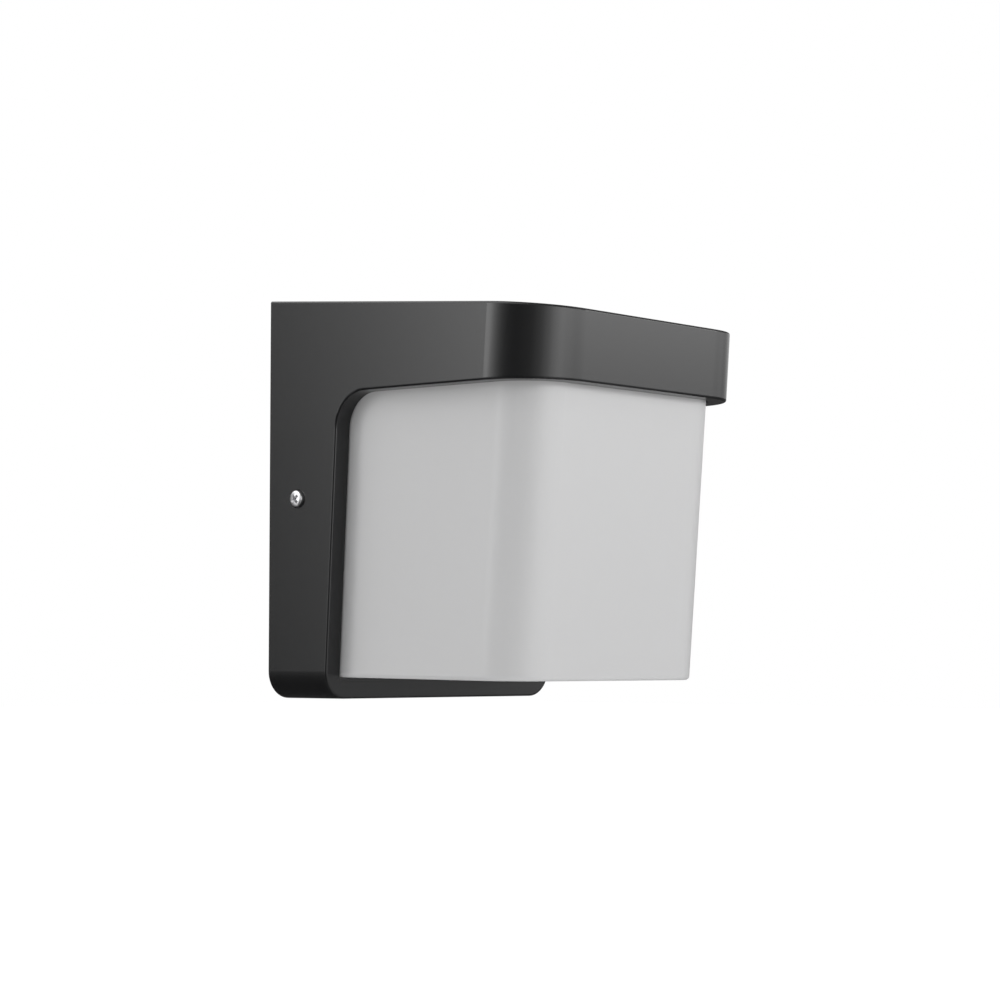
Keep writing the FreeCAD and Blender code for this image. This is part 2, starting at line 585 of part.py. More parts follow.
def make_terminal_block():
    """Three-pole terminal block."""
    half_w, half_h = BLOCK_SIZE[0] / 2, BLOCK_SIZE[2] / 2
    body = block((-half_w, half_w), (BLOCK_BACK, BLOCK_FRONT), (BLOCK_HEIGHT - half_h, BLOCK_HEIGHT + half_h))
    body = body.makeFillet(EDGE, outer_edges(body, lambda p: abs(-p.y - BLOCK_FRONT) < 1e-6))
    for x in POLE_XS:
        body = body.cut(rod(SLEEVE_R, at(x, POLE_AXIS, BLOCK_HEIGHT - FAR / 4), at(x, POLE_AXIS, BLOCK_HEIGHT + FAR / 4)))
    for x, height in pole_spots():
        body = body.cut(forward_rod(POLE_SCREW_R + THREAD_GAP, x, height, POLE_AXIS, FAR))
    for x in (-POLE_PITCH / 2, POLE_PITCH / 2):
        body = body.cut(forward_rod(BLOCK_SCREW_R + THREAD_GAP, x, BLOCK_HEIGHT, -1, FAR))
        body = body.cut(forward_rod(2 * BLOCK_SCREW_R, x, BLOCK_HEIGHT, POLE_AXIS, FAR))
    return body


def make_terminal_sleeves():
    """The brass sleeve of each pole."""
    sleeves = []
    for x in POLE_XS:
        low, high = (at(x, POLE_AXIS, BLOCK_HEIGHT + side * SLEEVE_LENGTH / 2) for side in (-1, 1))
        sleeve = rod(SLEEVE_R, low, high).cut(rod(SLEEVE_BORE_R, low, high))
        for rise in (-POLE_SCREW_SPREAD, POLE_SCREW_SPREAD):
            sleeve = sleeve.cut(forward_rod(LEAD_R + THREAD_GAP, x, BLOCK_HEIGHT + rise, POLE_AXIS, FAR))
        sleeves.append(sleeve)
    return sleeves


def make_terminal_screws():
    """The pole screws, each in its well with its end on the lead."""
    screws = []
    for x, height in pole_spots():
        head = forward_rod(POLE_SCREW_R, x, height, POLE_SCREW_SEAT, POLE_SCREW_TOP)
        end = forward_rod(LEAD_R, x, height, POLE_AXIS + LEAD_R + THREAD_GAP, POLE_SCREW_SEAT + 1)
        slot = block((x - 2 * POLE_SCREW_R, x + 2 * POLE_SCREW_R), (POLE_SCREW_TOP - 0.7, POLE_SCREW_TOP + 1),
                     (height - 0.25, height + 0.25))
        screws.append(fused([head, end]).cut(slot))
    return screws


def make_terminal_block_screws():
    """The two screws that fix the terminal block to the plate."""
    return [pan_screw(at(x, POLE_AXIS, BLOCK_HEIGHT), V(0, 1, 0), BLOCK_SCREW_R, POLE_AXIS - BLIND - THREAD_GAP,
                      2 * BLOCK_SCREW_R - THREAD_GAP, BLOCK_SCREW_R) for x in (-POLE_PITCH / 2, POLE_PITCH / 2)]


EARTH_TAG = 0.8
EARTH_TAG_R = 4.0


def make_earth_screw():
    """The earth screw in its boss."""
    seat = PLATE + BOSS + 2 * EARTH_TAG
    return pan_screw(at(EARTH_X, seat, EARTH_HEIGHT), V(0, 1, 0), M4_R, seat - BLIND - THREAD_GAP, 2 * M4_R, M4_R)


def make_earth_washer():
    """The washer between the earth screw and the lead's ring tag."""
    near = PLATE + BOSS + EARTH_TAG
    ring = forward_rod(EARTH_TAG_R + 0.5, EARTH_X, EARTH_HEIGHT, near, near + EARTH_TAG)
    return ring.cut(forward_rod(M4_R + THREAD_GAP, EARTH_X, EARTH_HEIGHT, near - 1, FAR))


def lead(points, radius, bends):
    """A round lead along straight runs joined by arcs, one radius per inner point."""
    edges = []
    start = points[0]
    for index, bend in enumerate(bends, start=1):
        here = points[index]
        back = (points[index - 1] - here).normalize()
        ahead = (points[index + 1] - here).normalize()
        half = back.getAngle(ahead) / 2
        reach = bend / math.tan(half)
        middle = here + (back + ahead).normalize() * (bend / math.sin(half) - bend)
        edges.append(Part.LineSegment(start, here + back * reach).toShape())
        edges.append(Part.Arc(here + back * reach, middle, here + ahead * reach).toShape())
        start = here + ahead * reach
    edges.append(Part.LineSegment(start, points[-1]).toShape())
    path = Part.Wire(edges)
    section = Part.Wire(Part.makeCircle(radius, points[0], points[1] - points[0]))
    return path.makePipeShell([section], True, False)


LEAD_START = BLOCK_HEIGHT - POLE_SCREW_SPREAD - 2
LEAD_TURN = 3 * LEAD_R


def holder_lead(pole_x, terminal_x):
    """A lead from a pole down to a push-in terminal in the lampholder's base."""
    top = LAMP_HEIGHT + HOLDER_R
    drop = BLOCK_HEIGHT - BLOCK_SIZE[2] / 2 - top
    return lead([at(pole_x, POLE_AXIS, LEAD_START), at(pole_x, POLE_AXIS, top + drop * 0.7),
                 at(terminal_x, TERMINAL_DEPTH, top + drop * 0.25), at(terminal_x, TERMINAL_DEPTH, top - HOLDER_R * 0.3)],
                LEAD_R, [LEAD_TURN, LEAD_TURN])


def make_earth_lead():
    """The earth lead, with the ring tag under the earth screw."""
    tag_depth = PLATE + BOSS
    foot = at(EARTH_X - EARTH_TAG_R + 0.5, tag_depth + LEAD_R, EARTH_HEIGHT)
    bend = at(POLE_PITCH + 6, tag_depth + LEAD_R + 1, EARTH_HEIGHT + 1)
    wire = lead([at(POLE_PITCH, POLE_AXIS, LEAD_START), at(POLE_PITCH, POLE_AXIS, EARTH_HEIGHT + 8), bend, foot],
                LEAD_R, [LEAD_TURN, LEAD_TURN])
    tag = forward_rod(EARTH_TAG_R, EARTH_X, EARTH_HEIGHT, tag_depth, tag_depth + EARTH_TAG)
    clear = forward_rod(EARTH_TAG_R + 0.5, EARTH_X, EARTH_HEIGHT, tag_depth + EARTH_TAG, FAR)
    hole = forward_rod(M4_R + THREAD_GAP, EARTH_X, EARTH_HEIGHT, -1, FAR)
    return fused([wire.cut(clear), tag]).cut(hole)


def make_bracket():
    """Steel bracket that carries the lampholder on a raised table."""
    foot = PLATE + BOSS
    reach = BRACKET_FOOT_X + BOSS_R
    top = TABLE_DEPTH + BRACKET
    corners = [(-reach, foot), (-BRACKET_HALF + BRACKET, foot), (-BRACKET_HALF + BRACKET, TABLE_DEPTH),
               (BRACKET_HALF - BRACKET, TABLE_DEPTH), (BRACKET_HALF - BRACKET, foot), (reach, foot),
               (reach, foot + BRACKET), (BRACKET_HALF, foot + BRACKET), (BRACKET_HALF, top),
               (-BRACKET_HALF, top), (-BRACKET_HALF, foot + BRACKET), (-reach, foot + BRACKET)]
    shape = plan_prism(corners, {8: BRACKET, 9: BRACKET}, LAMP_HEIGHT - BRACKET_WIDTH / 2,
                       LAMP_HEIGHT + BRACKET_WIDTH / 2, 0)
    for x in (-BRACKET_FOOT_X, BRACKET_FOOT_X):
        shape = shape.cut(forward_rod(M4_R + THREAD_GAP, x, LAMP_HEIGHT, -1, FAR))
    for x in (-HOLDER_SCREW_X, HOLDER_SCREW_X):
        shape = shape.cut(forward_rod(M3_R + THREAD_GAP, x, LAMP_HEIGHT, -1, FAR))
    return shape


def make_bracket_screws():
    """The two screws in the bracket's feet."""
    seat = PLATE + BOSS + BRACKET
    return [pan_screw(at(x, seat, LAMP_HEIGHT), V(0, 1, 0), M4_R, seat - BLIND - THREAD_GAP, 1.8 * M4_R, M4_R)
            for x in (-BRACKET_FOOT_X, BRACKET_FOOT_X)]


def make_holder_screws():
    """The two screws that come through the table from behind into the lampholder."""
    length = BRACKET + 5
    return [pan_screw(at(x, TABLE_DEPTH, LAMP_HEIGHT), V(0, -1, 0), M3_R, length, 1.8 * M3_R, M3_R)
            for x in (-HOLDER_SCREW_X, HOLDER_SCREW_X)]


HOLDER_BACK = TABLE_DEPTH + BRACKET
HOLDER_BORE_R = CAP_R + CAP_GAP + HOLDER_SHELL


def make_holder_body():
    """Lampholder body with the screw shell's bore."""
    body = turned([(0, HOLDER_BACK), (HOLDER_R - 1, HOLDER_BACK), (HOLDER_R, HOLDER_BACK + 1),
                   (HOLDER_R, HOLDER_FRONT - 14), (HOLDER_NOSE_R, HOLDER_FRONT - 11),
                   (HOLDER_NOSE_R, HOLDER_FRONT - 1), (HOLDER_NOSE_R - 1, HOLDER_FRONT),
                   (HOLDER_BORE_R, HOLDER_FRONT), (HOLDER_BORE_R, HOLDER_FLOOR), (0, HOLDER_FLOOR)])
    for x in (-HOLDER_SCREW_X, HOLDER_SCREW_X):
        body = body.cut(forward_rod(M3_R, x, LAMP_HEIGHT, 0, HOLDER_BACK + 5 + THREAD_GAP))
    for x in (-TERMINAL_X, TERMINAL_X):
        low = at(x, TERMINAL_DEPTH, LAMP_HEIGHT + HOLDER_R * 0.7 - THREAD_GAP)
        body = body.cut(rod(LEAD_R + THREAD_GAP, low, at(x, TERMINAL_DEPTH, HEIGHT)))
    return body


def make_holder_shell():
    """The metal screw shell in the lampholder."""
    return turned([(HOLDER_BORE_R - HOLDER_SHELL, HOLDER_FLOOR + 7), (HOLDER_BORE_R, HOLDER_FLOOR + 7),
                   (HOLDER_BORE_R, HOLDER_FRONT - 1), (HOLDER_BORE_R - HOLDER_SHELL, HOLDER_FRONT - 1)])


CONTACT = 1.5


def make_holder_contact():
    """The centre contact on the lampholder's floor."""
    strip = block((-4, 4), (HOLDER_FLOOR, HOLDER_FLOOR + 0.6), (LAMP_HEIGHT - 3, LAMP_HEIGHT + 9))
    return fused([strip, forward_rod(3, 0, LAMP_HEIGHT, HOLDER_FLOOR, HOLDER_FLOOR + CONTACT)])


def make_reflector_plate():
    """White plate over the wiring, with a hole for the lampholder."""
    edge = INNER_HALF - REFLECTOR_GAP
    low, high = WALL + REFLECTOR_GAP, HEIGHT - WALL - REFLECTOR_GAP
    shape = front_prism(rectangle(-edge, edge, low, high), {i: PLATE_CORNER for i in range(4)},
                        REFLECTOR_DEPTH, REFLECTOR_DEPTH + REFLECTOR)
    shape = shape.cut(forward_rod(REFLECTOR_HOLE_R, 0, LAMP_HEIGHT, 0, FAR))
    for height in PILLAR_HEIGHTS:
        for x in (-PILLAR_X, PILLAR_X):
            shape = shape.cut(forward_rod(M3_R + THREAD_GAP, x, height, 0, FAR))
    return shape


def make_reflector_pillars():
    """Four threaded pillars between the plate and the reflector."""
    pillars = []
    for height in PILLAR_HEIGHTS:
        for x in (-PILLAR_X, PILLAR_X):
            tube = forward_rod(PILLAR_R, x, height, PLATE + BOSS, REFLECTOR_DEPTH)
            stud = forward_rod(M3_R, x, height, BLIND + THREAD_GAP, PLATE + BOSS)
            bore = forward_rod(M3_R, x, height, REFLECTOR_DEPTH - 7, REFLECTOR_DEPTH + 1)
            pillars.append(fused([tube, stud]).cut(bore))
    return pillars


def make_reflector_screws():
    """The screw in each pillar."""
    seat = REFLECTOR_DEPTH + REFLECTOR
    return [pan_screw(at(x, seat, height), V(0, 1, 0), M3_R, 6.0, 1.8 * M3_R, M3_R)
            for height in PILLAR_HEIGHTS for x in (-PILLAR_X, PILLAR_X)]


# ---- Bulb --------------------------------------------------------------------------------------------------
BULB_BACK = HOLDER_FLOOR + CONTACT + BULB_TIP_GAP
BULB_FRONT = DIFFUSER_FOOT_DEPTH - DIFFUSER_WALL - BULB_FRONT_GAP
GLOBE_CENTRE = BULB_FRONT - GLOBE_R
JOINT_DEPTH = GLOBE_CENTRE - GLOBE_JOINT
JOINT_R = math.sqrt(GLOBE_R ** 2 - GLOBE_JOINT ** 2)
NECK_DEPTH = HOLDER_FRONT + 0.3
CONE = JOINT_DEPTH - NECK_DEPTH
CONE_NECK_END = NECK_DEPTH + CONE_NECK * CONE
CONE_RIM_START = JOINT_DEPTH - CONE_RIM * CONE
CAP_BACK = BULB_BACK + 3.5
CONE_FLARE = 2.5
CONE_SKIN = 1.5
TIP = 1.0
TIP_R = 4.5
BOARD = 1.5
BOARD_GAP = 0.08


def make_bulb_contact():
    """The bulb's centre contact."""
    return turned([(0, BULB_BACK), (TIP_R - 0.5, BULB_BACK), (TIP_R, BULB_BACK + 0.5), (TIP_R, BULB_BACK + TIP),
                   (0, BULB_BACK + TIP)])


def make_cap_insulator():
    """The dark insulator between the bulb's contact and its cap."""
    return turned([(0, BULB_BACK + TIP), (TIP_R + 1, BULB_BACK + TIP), (CAP_R - CAP_SKIN, CAP_BACK),
                   (CAP_R - CAP_SKIN, CAP_BACK + 2), (0, CAP_BACK + 2)])


def make_cap_shell():
    """The bulb's screw cap."""
    front = (NECK_DEPTH + CONE_NECK_END) / 2
    return turned([(CAP_R - CAP_SKIN, CAP_BACK), (CAP_R, CAP_BACK), (CAP_R, front), (CAP_R - CAP_SKIN, front)])


def make_bulb_housing():
    """The white cone between cap and globe."""
    return turned([(CAP_R, NECK_DEPTH), (BULB_NECK_R, NECK_DEPTH), (BULB_NECK_R + 0.6, CONE_NECK_END),
                   (JOINT_R - CONE_FLARE, CONE_RIM_START), (JOINT_R, JOINT_DEPTH), (JOINT_R - CONE_SKIN, JOINT_DEPTH),
                   (JOINT_R - CONE_FLARE - CONE_SKIN, CONE_RIM_START), (CAP_R, CONE_NECK_END)])


def make_globe():
    """The opal globe, open at the joint."""
    centre = at(0, GLOBE_CENTRE, LAMP_HEIGHT)
    ball = Part.makeSphere(GLOBE_R, centre).cut(Part.makeSphere(GLOBE_R - GLOBE_WALL, centre))
    return ball.cut(block((-FAR, FAR), (0, JOINT_DEPTH), (0, HEIGHT)))


def make_led_board():
    """The round board that carries the light-emitting chips."""
    radius = JOINT_R - CONE_SKIN - CONE_FLARE * BOARD / (JOINT_DEPTH - CONE_RIM_START) - BOARD_GAP
    return forward_rod(radius, 0, LAMP_HEIGHT, JOINT_DEPTH - BOARD, JOINT_DEPTH)


def make_leds():
    """A ring of chips on the board."""
    chips = []
    for index in range(LED_COUNT):
        angle = 2 * math.pi * index / LED_COUNT
        x, rise = LED_RING_R * math.cos(angle), LED_RING_R * math.sin(angle)
        chip = block((-1.4, 1.4), (JOINT_DEPTH, JOINT_DEPTH + 0.8), (-1.75, 1.75))
        chip.rotate(V(0, 0, 0), V(0, 1, 0), -math.degrees(angle))
        chip.translate(V(x, 0, LAMP_HEIGHT + rise))
        chips.append(chip)
    return chips


def make_driver_board():
    """The driver's board, upright behind the round board."""
    back = CAP_BACK + 2
    slim = block((-8, 8), (back, JOINT_DEPTH - BOARD), (LAMP_HEIGHT - 0.6, LAMP_HEIGHT + 0.6))
    coil = forward_rod(4.0, 0, LAMP_HEIGHT + 4.2, CONE_NECK_END, CONE_NECK_END + CONE_NECK * CONE)
    return fused([slim, coil])


# ---- All nodes ---------------------------------------------------------------------------------------------
def all_nodes():
    """Every node's name and its solids."""
    nodes = {
        "wall_plate": make_wall_plate(),
        "side_ears": make_side_ears(),
        "cable_grommet": make_grommet(),
        "terminal_block": make_terminal_block(),
        "terminal_sleeves": make_terminal_sleeves(),
        "terminal_screws": make_terminal_screws(),
        "terminal_block_screws": make_terminal_block_screws(),
        "earth_screw": make_earth_screw(),
        "earth_washer": make_earth_washer(),
        "earth_lead": make_earth_lead(),
        "live_lead": holder_lead(-POLE_PITCH, -TERMINAL_X),
        "neutral_lead": holder_lead(0.0, TERMINAL_X),
        "lampholder_bracket": make_bracket(),
        "bracket_screws": make_bracket_screws(),
        "lampholder_body": make_holder_body(),
        "lampholder_screws": make_holder_screws(),
        "lampholder_shell": make_holder_shell(),
        "lampholder_contact": make_holder_contact(),
        "reflector_plate": make_reflector_plate(),
        "reflector_pillars": make_reflector_pillars(),
        "reflector_screws": make_reflector_screws(),
        "bulb_centre_contact": make_bulb_contact(),
        "bulb_cap_insulator": make_cap_insulator(),
        "bulb_cap_shell": make_cap_shell(),
        "bulb_housing": make_bulb_housing(),
        "bulb_globe": make_globe(),
        "bulb_led_board": make_led_board(),
        "bulb_leds": make_leds(),
        "bulb_driver_board": make_driver_board(),
        "cover_housing": make_housing(),
        "rim_seal": make_rim_seal(),
        "diffuser": make_diffuser(),
        "diffuser_gasket": make_gasket(),
        "diffuser_clips": at_clips(clip),
        "clip_screws": at_clips(clip_screw),
        "square_nuts": make_square_nuts(),
    }
    for name, side in (("left", -1), ("right", 1)):
        nodes[f"{name}_sealing_washer"] = make_sealing_washer(side)
        nodes[f"{name}_cover_screw"] = make_cover_screw(side)
    return nodes


def export(name, shapes):
    """Write one node as parts/NAME.step, with heights moved to the wall slots."""
    solids = [solid for shape in (shapes if isinstance(shapes, list) else [shapes]) for solid in shape.Solids]
    shape = solids[0] if len(solids) == 1 else Part.makeCompound(solids)
    shape = shape.copy()
    shape.translate(V(0, 0, -SLOT_HEIGHT))
    shape.exportStep(os.path.join("parts", name + ".step"))
    print(f"{name}: {len(solids)} solid(s), {sum(s.Volume for s in solids) / 1000:.2f} cm3, "
          f"valid {all(s.isValid() for s in solids)}")


os.makedirs("parts", exist_ok=True)
for node_name, node_shapes in all_nodes().items():
    export(node_name, node_shapes)
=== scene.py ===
"""Outdoor wall lantern: finishes, fine meshes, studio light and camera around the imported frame.

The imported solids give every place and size, in metres: +X to the right, +Y into the wall, +Z up, with the origin
between the two wall slots. Turned and threaded pieces are made again here as fine meshes, in the space of the
solids they stand for. Every other solid keeps its shape and takes a finish.
"""
import json
import logging
import math
from dataclasses import dataclass, field
from enum import Enum
from typing import Callable, Sequence

import bmesh
import bpy
from mathutils import Matrix, Vector


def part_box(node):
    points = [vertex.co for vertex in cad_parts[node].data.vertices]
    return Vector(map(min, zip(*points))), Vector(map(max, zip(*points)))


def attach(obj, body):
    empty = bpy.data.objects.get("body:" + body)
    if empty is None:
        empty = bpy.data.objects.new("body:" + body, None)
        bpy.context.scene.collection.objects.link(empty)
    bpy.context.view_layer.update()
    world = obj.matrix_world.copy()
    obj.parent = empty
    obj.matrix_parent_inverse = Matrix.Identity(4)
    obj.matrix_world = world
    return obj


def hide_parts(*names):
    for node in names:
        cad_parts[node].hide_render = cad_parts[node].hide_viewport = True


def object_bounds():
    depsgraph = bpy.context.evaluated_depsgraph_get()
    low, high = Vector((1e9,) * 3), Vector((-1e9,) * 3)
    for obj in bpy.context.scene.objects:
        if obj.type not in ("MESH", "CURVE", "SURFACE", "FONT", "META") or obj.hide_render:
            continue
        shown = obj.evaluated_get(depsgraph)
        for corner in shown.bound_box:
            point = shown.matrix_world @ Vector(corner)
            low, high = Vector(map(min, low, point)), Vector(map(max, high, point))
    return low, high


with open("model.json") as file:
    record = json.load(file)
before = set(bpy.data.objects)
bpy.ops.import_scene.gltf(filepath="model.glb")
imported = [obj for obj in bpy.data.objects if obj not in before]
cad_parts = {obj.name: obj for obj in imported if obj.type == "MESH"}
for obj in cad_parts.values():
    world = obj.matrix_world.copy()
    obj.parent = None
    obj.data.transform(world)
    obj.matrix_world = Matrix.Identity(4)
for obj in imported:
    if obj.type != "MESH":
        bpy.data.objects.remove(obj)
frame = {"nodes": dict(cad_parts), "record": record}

CAD_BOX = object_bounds()
MM = 0.001

Color = tuple[float, float, float]
Profile = Sequence[tuple[float, float]]

log = logging.getLogger("wall_lantern")


class Body(Enum):
    """The rigid bodies that the pieces made here ride on."""

    WALL = "wall_side"
    BULB = "bulb"
    LEFT_SCREW = "left_screw"
    RIGHT_SCREW = "right_screw"


class Side(Enum):
    """The two side faces, as the sign of x."""

    LEFT = -1
    RIGHT = 1


# ---- Shader trees ------------------------------------------------------------------------------------------
class Graph:
    """A thin writer for one node tree."""

    def __init__(self, tree: bpy.types.NodeTree) -> None:
        """Start writing in tree.

        Args:
            tree: the node tree, emptied here.
        """
        self.tree = tree
        tree.nodes.clear()

    def add(self, kind: str, **settings: object) -> bpy.types.Node:
        """Add a node.

        Args:
            kind: the node's type name.
            settings: properties to set on it.

        Returns:
            The new node.
        """
        node = self.tree.nodes.new(kind)
        for name, value in settings.items():
            setattr(node, name, value)
        return node

    def feed(self, socket: bpy.types.NodeSocket, value: object) -> None:
        """Link an output into socket, or set the socket's own value.

        Args:
            socket: the input to fill.
            value: an output to link, or a plain value.
        """
        if isinstance(value, bpy.types.NodeSocket):
            self.tree.links.new(value, socket)
        else:
            socket.default_value = value

    def math(self, operation: str, first: object, second: object = 0.0, clamp: bool = False) -> bpy.types.NodeSocket:
        """Add a Math node.

        Args:
            operation: the node's operation.
            first: the first output or value.
            second: the second output or value.
            clamp: whether the result is kept between zero and one.

        Returns:
            The node's output.
        """
        node = self.add("ShaderNodeMath", operation=operation, use_clamp=clamp)
        self.feed(node.inputs[0], first)
        self.feed(node.inputs[1], second)
        return node.outputs[0]

    def remap(self, value: object, low: float, high: float, out_low: object, out_high: object) -> bpy.types.NodeSocket:
        """Map a value from one range to another, smoothly and clamped.

        Args:
            value: the output or value to map.
            low: the start of the range that it comes from.
            high: the end of that range.
            out_low: the result at low.
            out_high: the result at high.

        Returns:
            The node's output.
        """
        node = self.add("ShaderNodeMapRange", interpolation_type="SMOOTHSTEP")
        for index, item in enumerate((value, low, high, out_low, out_high)):
            self.feed(node.inputs[index], item)
        return node.outputs[0]

    def mix(self, factor: object, first: object, second: object) -> bpy.types.NodeSocket:
        """Mix two colours.

        Args:
            factor: the share of the second colour.
            first: the first colour.
            second: the second colour.

        Returns:
            The mixed colour.
        """
        node = self.add("ShaderNodeMix", data_type="RGBA")
        self.feed(node.inputs[0], factor)
        self.feed(node.inputs[6], first)
        self.feed(node.inputs[7], second)
        return node.outputs[2]

    def noise(self, vector: object, scale: object, detail: float = 2.0, roughness: float = 0.5) -> bpy.types.NodeSocket:
        """Add a noise texture.

        Args:
            vector: the place that it is read at.
            scale: its features per metre.
            detail: how many finer layers it has.
            roughness: how strong the finer layers are.

        Returns:
            The noise value.
        """
        node = self.add("ShaderNodeTexNoise")
        self.feed(node.inputs["Vector"], vector)
        self.feed(node.inputs["Scale"], scale)
        node.inputs["Detail"].default_value = detail
        node.inputs["Roughness"].default_value = roughness
        return node.outputs[0]

    def place(self) -> bpy.types.NodeSocket:
        """The place on the object, in metres."""
        return self.add("ShaderNodeTexCoord").outputs["Object"]


class SurfaceGroups:
    """Node groups for the effects that several finishes share, each built once."""

    SWELL_SCALE = 0.12
    EDGE_TURN = (0.01, 0.12)
    PATCH_SCALE = 220.0
    PATCH_LEVELS = (0.42, 0.68)
    DUST_TILT = (0.25, 0.95)
    DUST_LEVELS = (0.3, 0.8)
    DUST_LEAST = 0.25
    MARK_TURN = (0.6, 0.35, 0.8)
    MARK_STRETCH = (1.0, 12.0, 1.0)
    MARK_LEVELS = (0.70, 0.74)

    def __init__(self) -> None:
        """Build every group."""
        self.grain = self._build("Moulding grain", {"Size": 0.5, "Softness": 0.5}, ("Height",), self._grain)
        self.drift = self._build("Tone drift", {"Size": 40.0, "Spread": 0.1}, ("Tone",), self._drift)
        self.wear_and_highlight = self._build("Edge rubbing and highlight", {"Reach": 0.5, "Amount": 0.2}, ("Mask",), self._wear_and_highlight)
        self.dust = self._build("Settled dust", {"Size": 6.0, "Amount": 0.2}, ("Mask",), self._dust)
        self.marks = self._build("Fine marks", {"Size": 3.0, "Amount": 0.2}, ("Mask",), self._marks)

    @staticmethod
    def _build(name: str, inputs: dict[str, float], outputs: Sequence[str],
               fill: Callable[[Graph, dict], dict]) -> bpy.types.NodeTree:
        """Make one group.

        Args:
            name: the group's name.
            inputs: each input's name and default, sizes in millimetres.
            outputs: the outputs' names.
            fill: writes the nodes between the given inputs and returns the outputs by name.

        Returns:
            The group's node tree.
        """
        tree = bpy.data.node_groups.new(name, "ShaderNodeTree")
        for label, default in inputs.items():
            socket = tree.interface.new_socket(name=label, in_out="INPUT", socket_type="NodeSocketFloat")
            socket.default_value = default
        for label in outputs:
            tree.interface.new_socket(name=label, in_out="OUTPUT", socket_type="NodeSocketFloat")
        graph = Graph(tree)
        source = graph.add("NodeGroupInput")
        sink = graph.add("NodeGroupOutput")
        results = fill(graph, {label: source.outputs[label] for label in inputs})
        for label, socket in results.items():
            graph.feed(sink.inputs[label], socket)
        return tree

    @staticmethod
    def _per_metre(graph: Graph, size: object) -> bpy.types.NodeSocket:
        """A texture scale from a size in millimetres."""
        return graph.math("DIVIDE", 1.0 / MM, size)

    def _grain(self, graph: Graph, given: dict) -> dict:
        """Two octaves of rounded bumps, with a slow swell under them.

        Args:
            graph: the group's tree.
            given: the group's inputs by name.

        Returns:
            The height by the output's name.
        """
        place = graph.place()
        scale = self._per_metre(graph, given["Size"])
        fine = graph.noise(place, scale, detail=3.0)
        swell = graph.noise(place, graph.math("MULTIPLY", scale, self.SWELL_SCALE), detail=1.0)
        share = graph.math("MULTIPLY", swell, given["Softness"])
        return {"Height": graph.math("ADD", fine, share)}

    def _drift(self, graph: Graph, given: dict) -> dict:
        """A slow change of tone around one.

        Args:
            graph: the group's tree.
            given: the group's inputs by name.

        Returns:
            The tone by the output's name.
        """
        value = graph.noise(graph.place(), self._per_metre(graph, given["Size"]), detail=4.0, roughness=0.6)
        centred = graph.math("SUBTRACT", value, 0.5)
        return {"Tone": graph.math("ADD", 1.0, graph.math("MULTIPLY", centred, given["Spread"]))}

    def _wear_and_highlight(self, graph: Graph, given: dict) -> dict:
        """A broken line along sharp outer edges, for rubbed edges and, on the black housing, a painted edge highlight.

        Args:
            graph: the group's tree.
            given: the group's inputs by name.

        Returns:
            The mask by the output's name.
        """
        bevel = graph.add("ShaderNodeBevel", samples=4)
        graph.feed(bevel.inputs["Radius"], graph.math("MULTIPLY", given["Reach"], MM))
        turn = graph.add("ShaderNodeVectorMath", operation="DOT_PRODUCT")
        graph.feed(turn.inputs[0], bevel.outputs[0])
        graph.feed(turn.inputs[1], graph.add("ShaderNodeNewGeometry").outputs["Normal"])
        edge = graph.remap(graph.math("SUBTRACT", 1.0, turn.outputs["Value"]), *self.EDGE_TURN, 0.0, 1.0)
        cloud = graph.noise(graph.place(), self.PATCH_SCALE, detail=5.0, roughness=0.7)
        broken = graph.math("MULTIPLY", edge, graph.remap(cloud, *self.PATCH_LEVELS, 0.0, 1.0))
        return {"Mask": graph.math("MULTIPLY", broken, given["Amount"], clamp=True)}

    def _dust(self, graph: Graph, given: dict) -> dict:
        """A thin layer on faces that look up.

        Args:
            graph: the group's tree.
            given: the group's inputs by name.

        Returns:
            The mask by the output's name.
        """
        parts = graph.add("ShaderNodeSeparateXYZ")
        graph.feed(parts.inputs[0], graph.add("ShaderNodeNewGeometry").outputs["Normal"])
        up = graph.remap(parts.outputs[2], *self.DUST_TILT, 0.0, 1.0)
        cloud = graph.noise(graph.place(), self._per_metre(graph, given["Size"]), detail=6.0, roughness=0.7)
        layer = graph.math("MULTIPLY", up, graph.remap(cloud, *self.DUST_LEVELS, self.DUST_LEAST, 1.0))
        return {"Mask": graph.math("MULTIPLY", layer, given["Amount"], clamp=True)}

    def _marks(self, graph: Graph, given: dict) -> dict:
        """Sparse hairline marks from handling.

        Args:
            graph: the group's tree.
            given: the group's inputs by name.

        Returns:
            The mask by the output's name.
        """
        stretch = graph.add("ShaderNodeMapping")
        graph.feed(stretch.inputs["Vector"], graph.place())
        stretch.inputs["Rotation"].default_value = self.MARK_TURN
        stretch.inputs["Scale"].default_value = self.MARK_STRETCH
        value = graph.noise(stretch.outputs[0], self._per_metre(graph, given["Size"]), detail=2.0)
        line = graph.remap(value, *self.MARK_LEVELS, 0.0, 1.0)
        return {"Mask": graph.math("MULTIPLY", line, given["Amount"], clamp=True)}


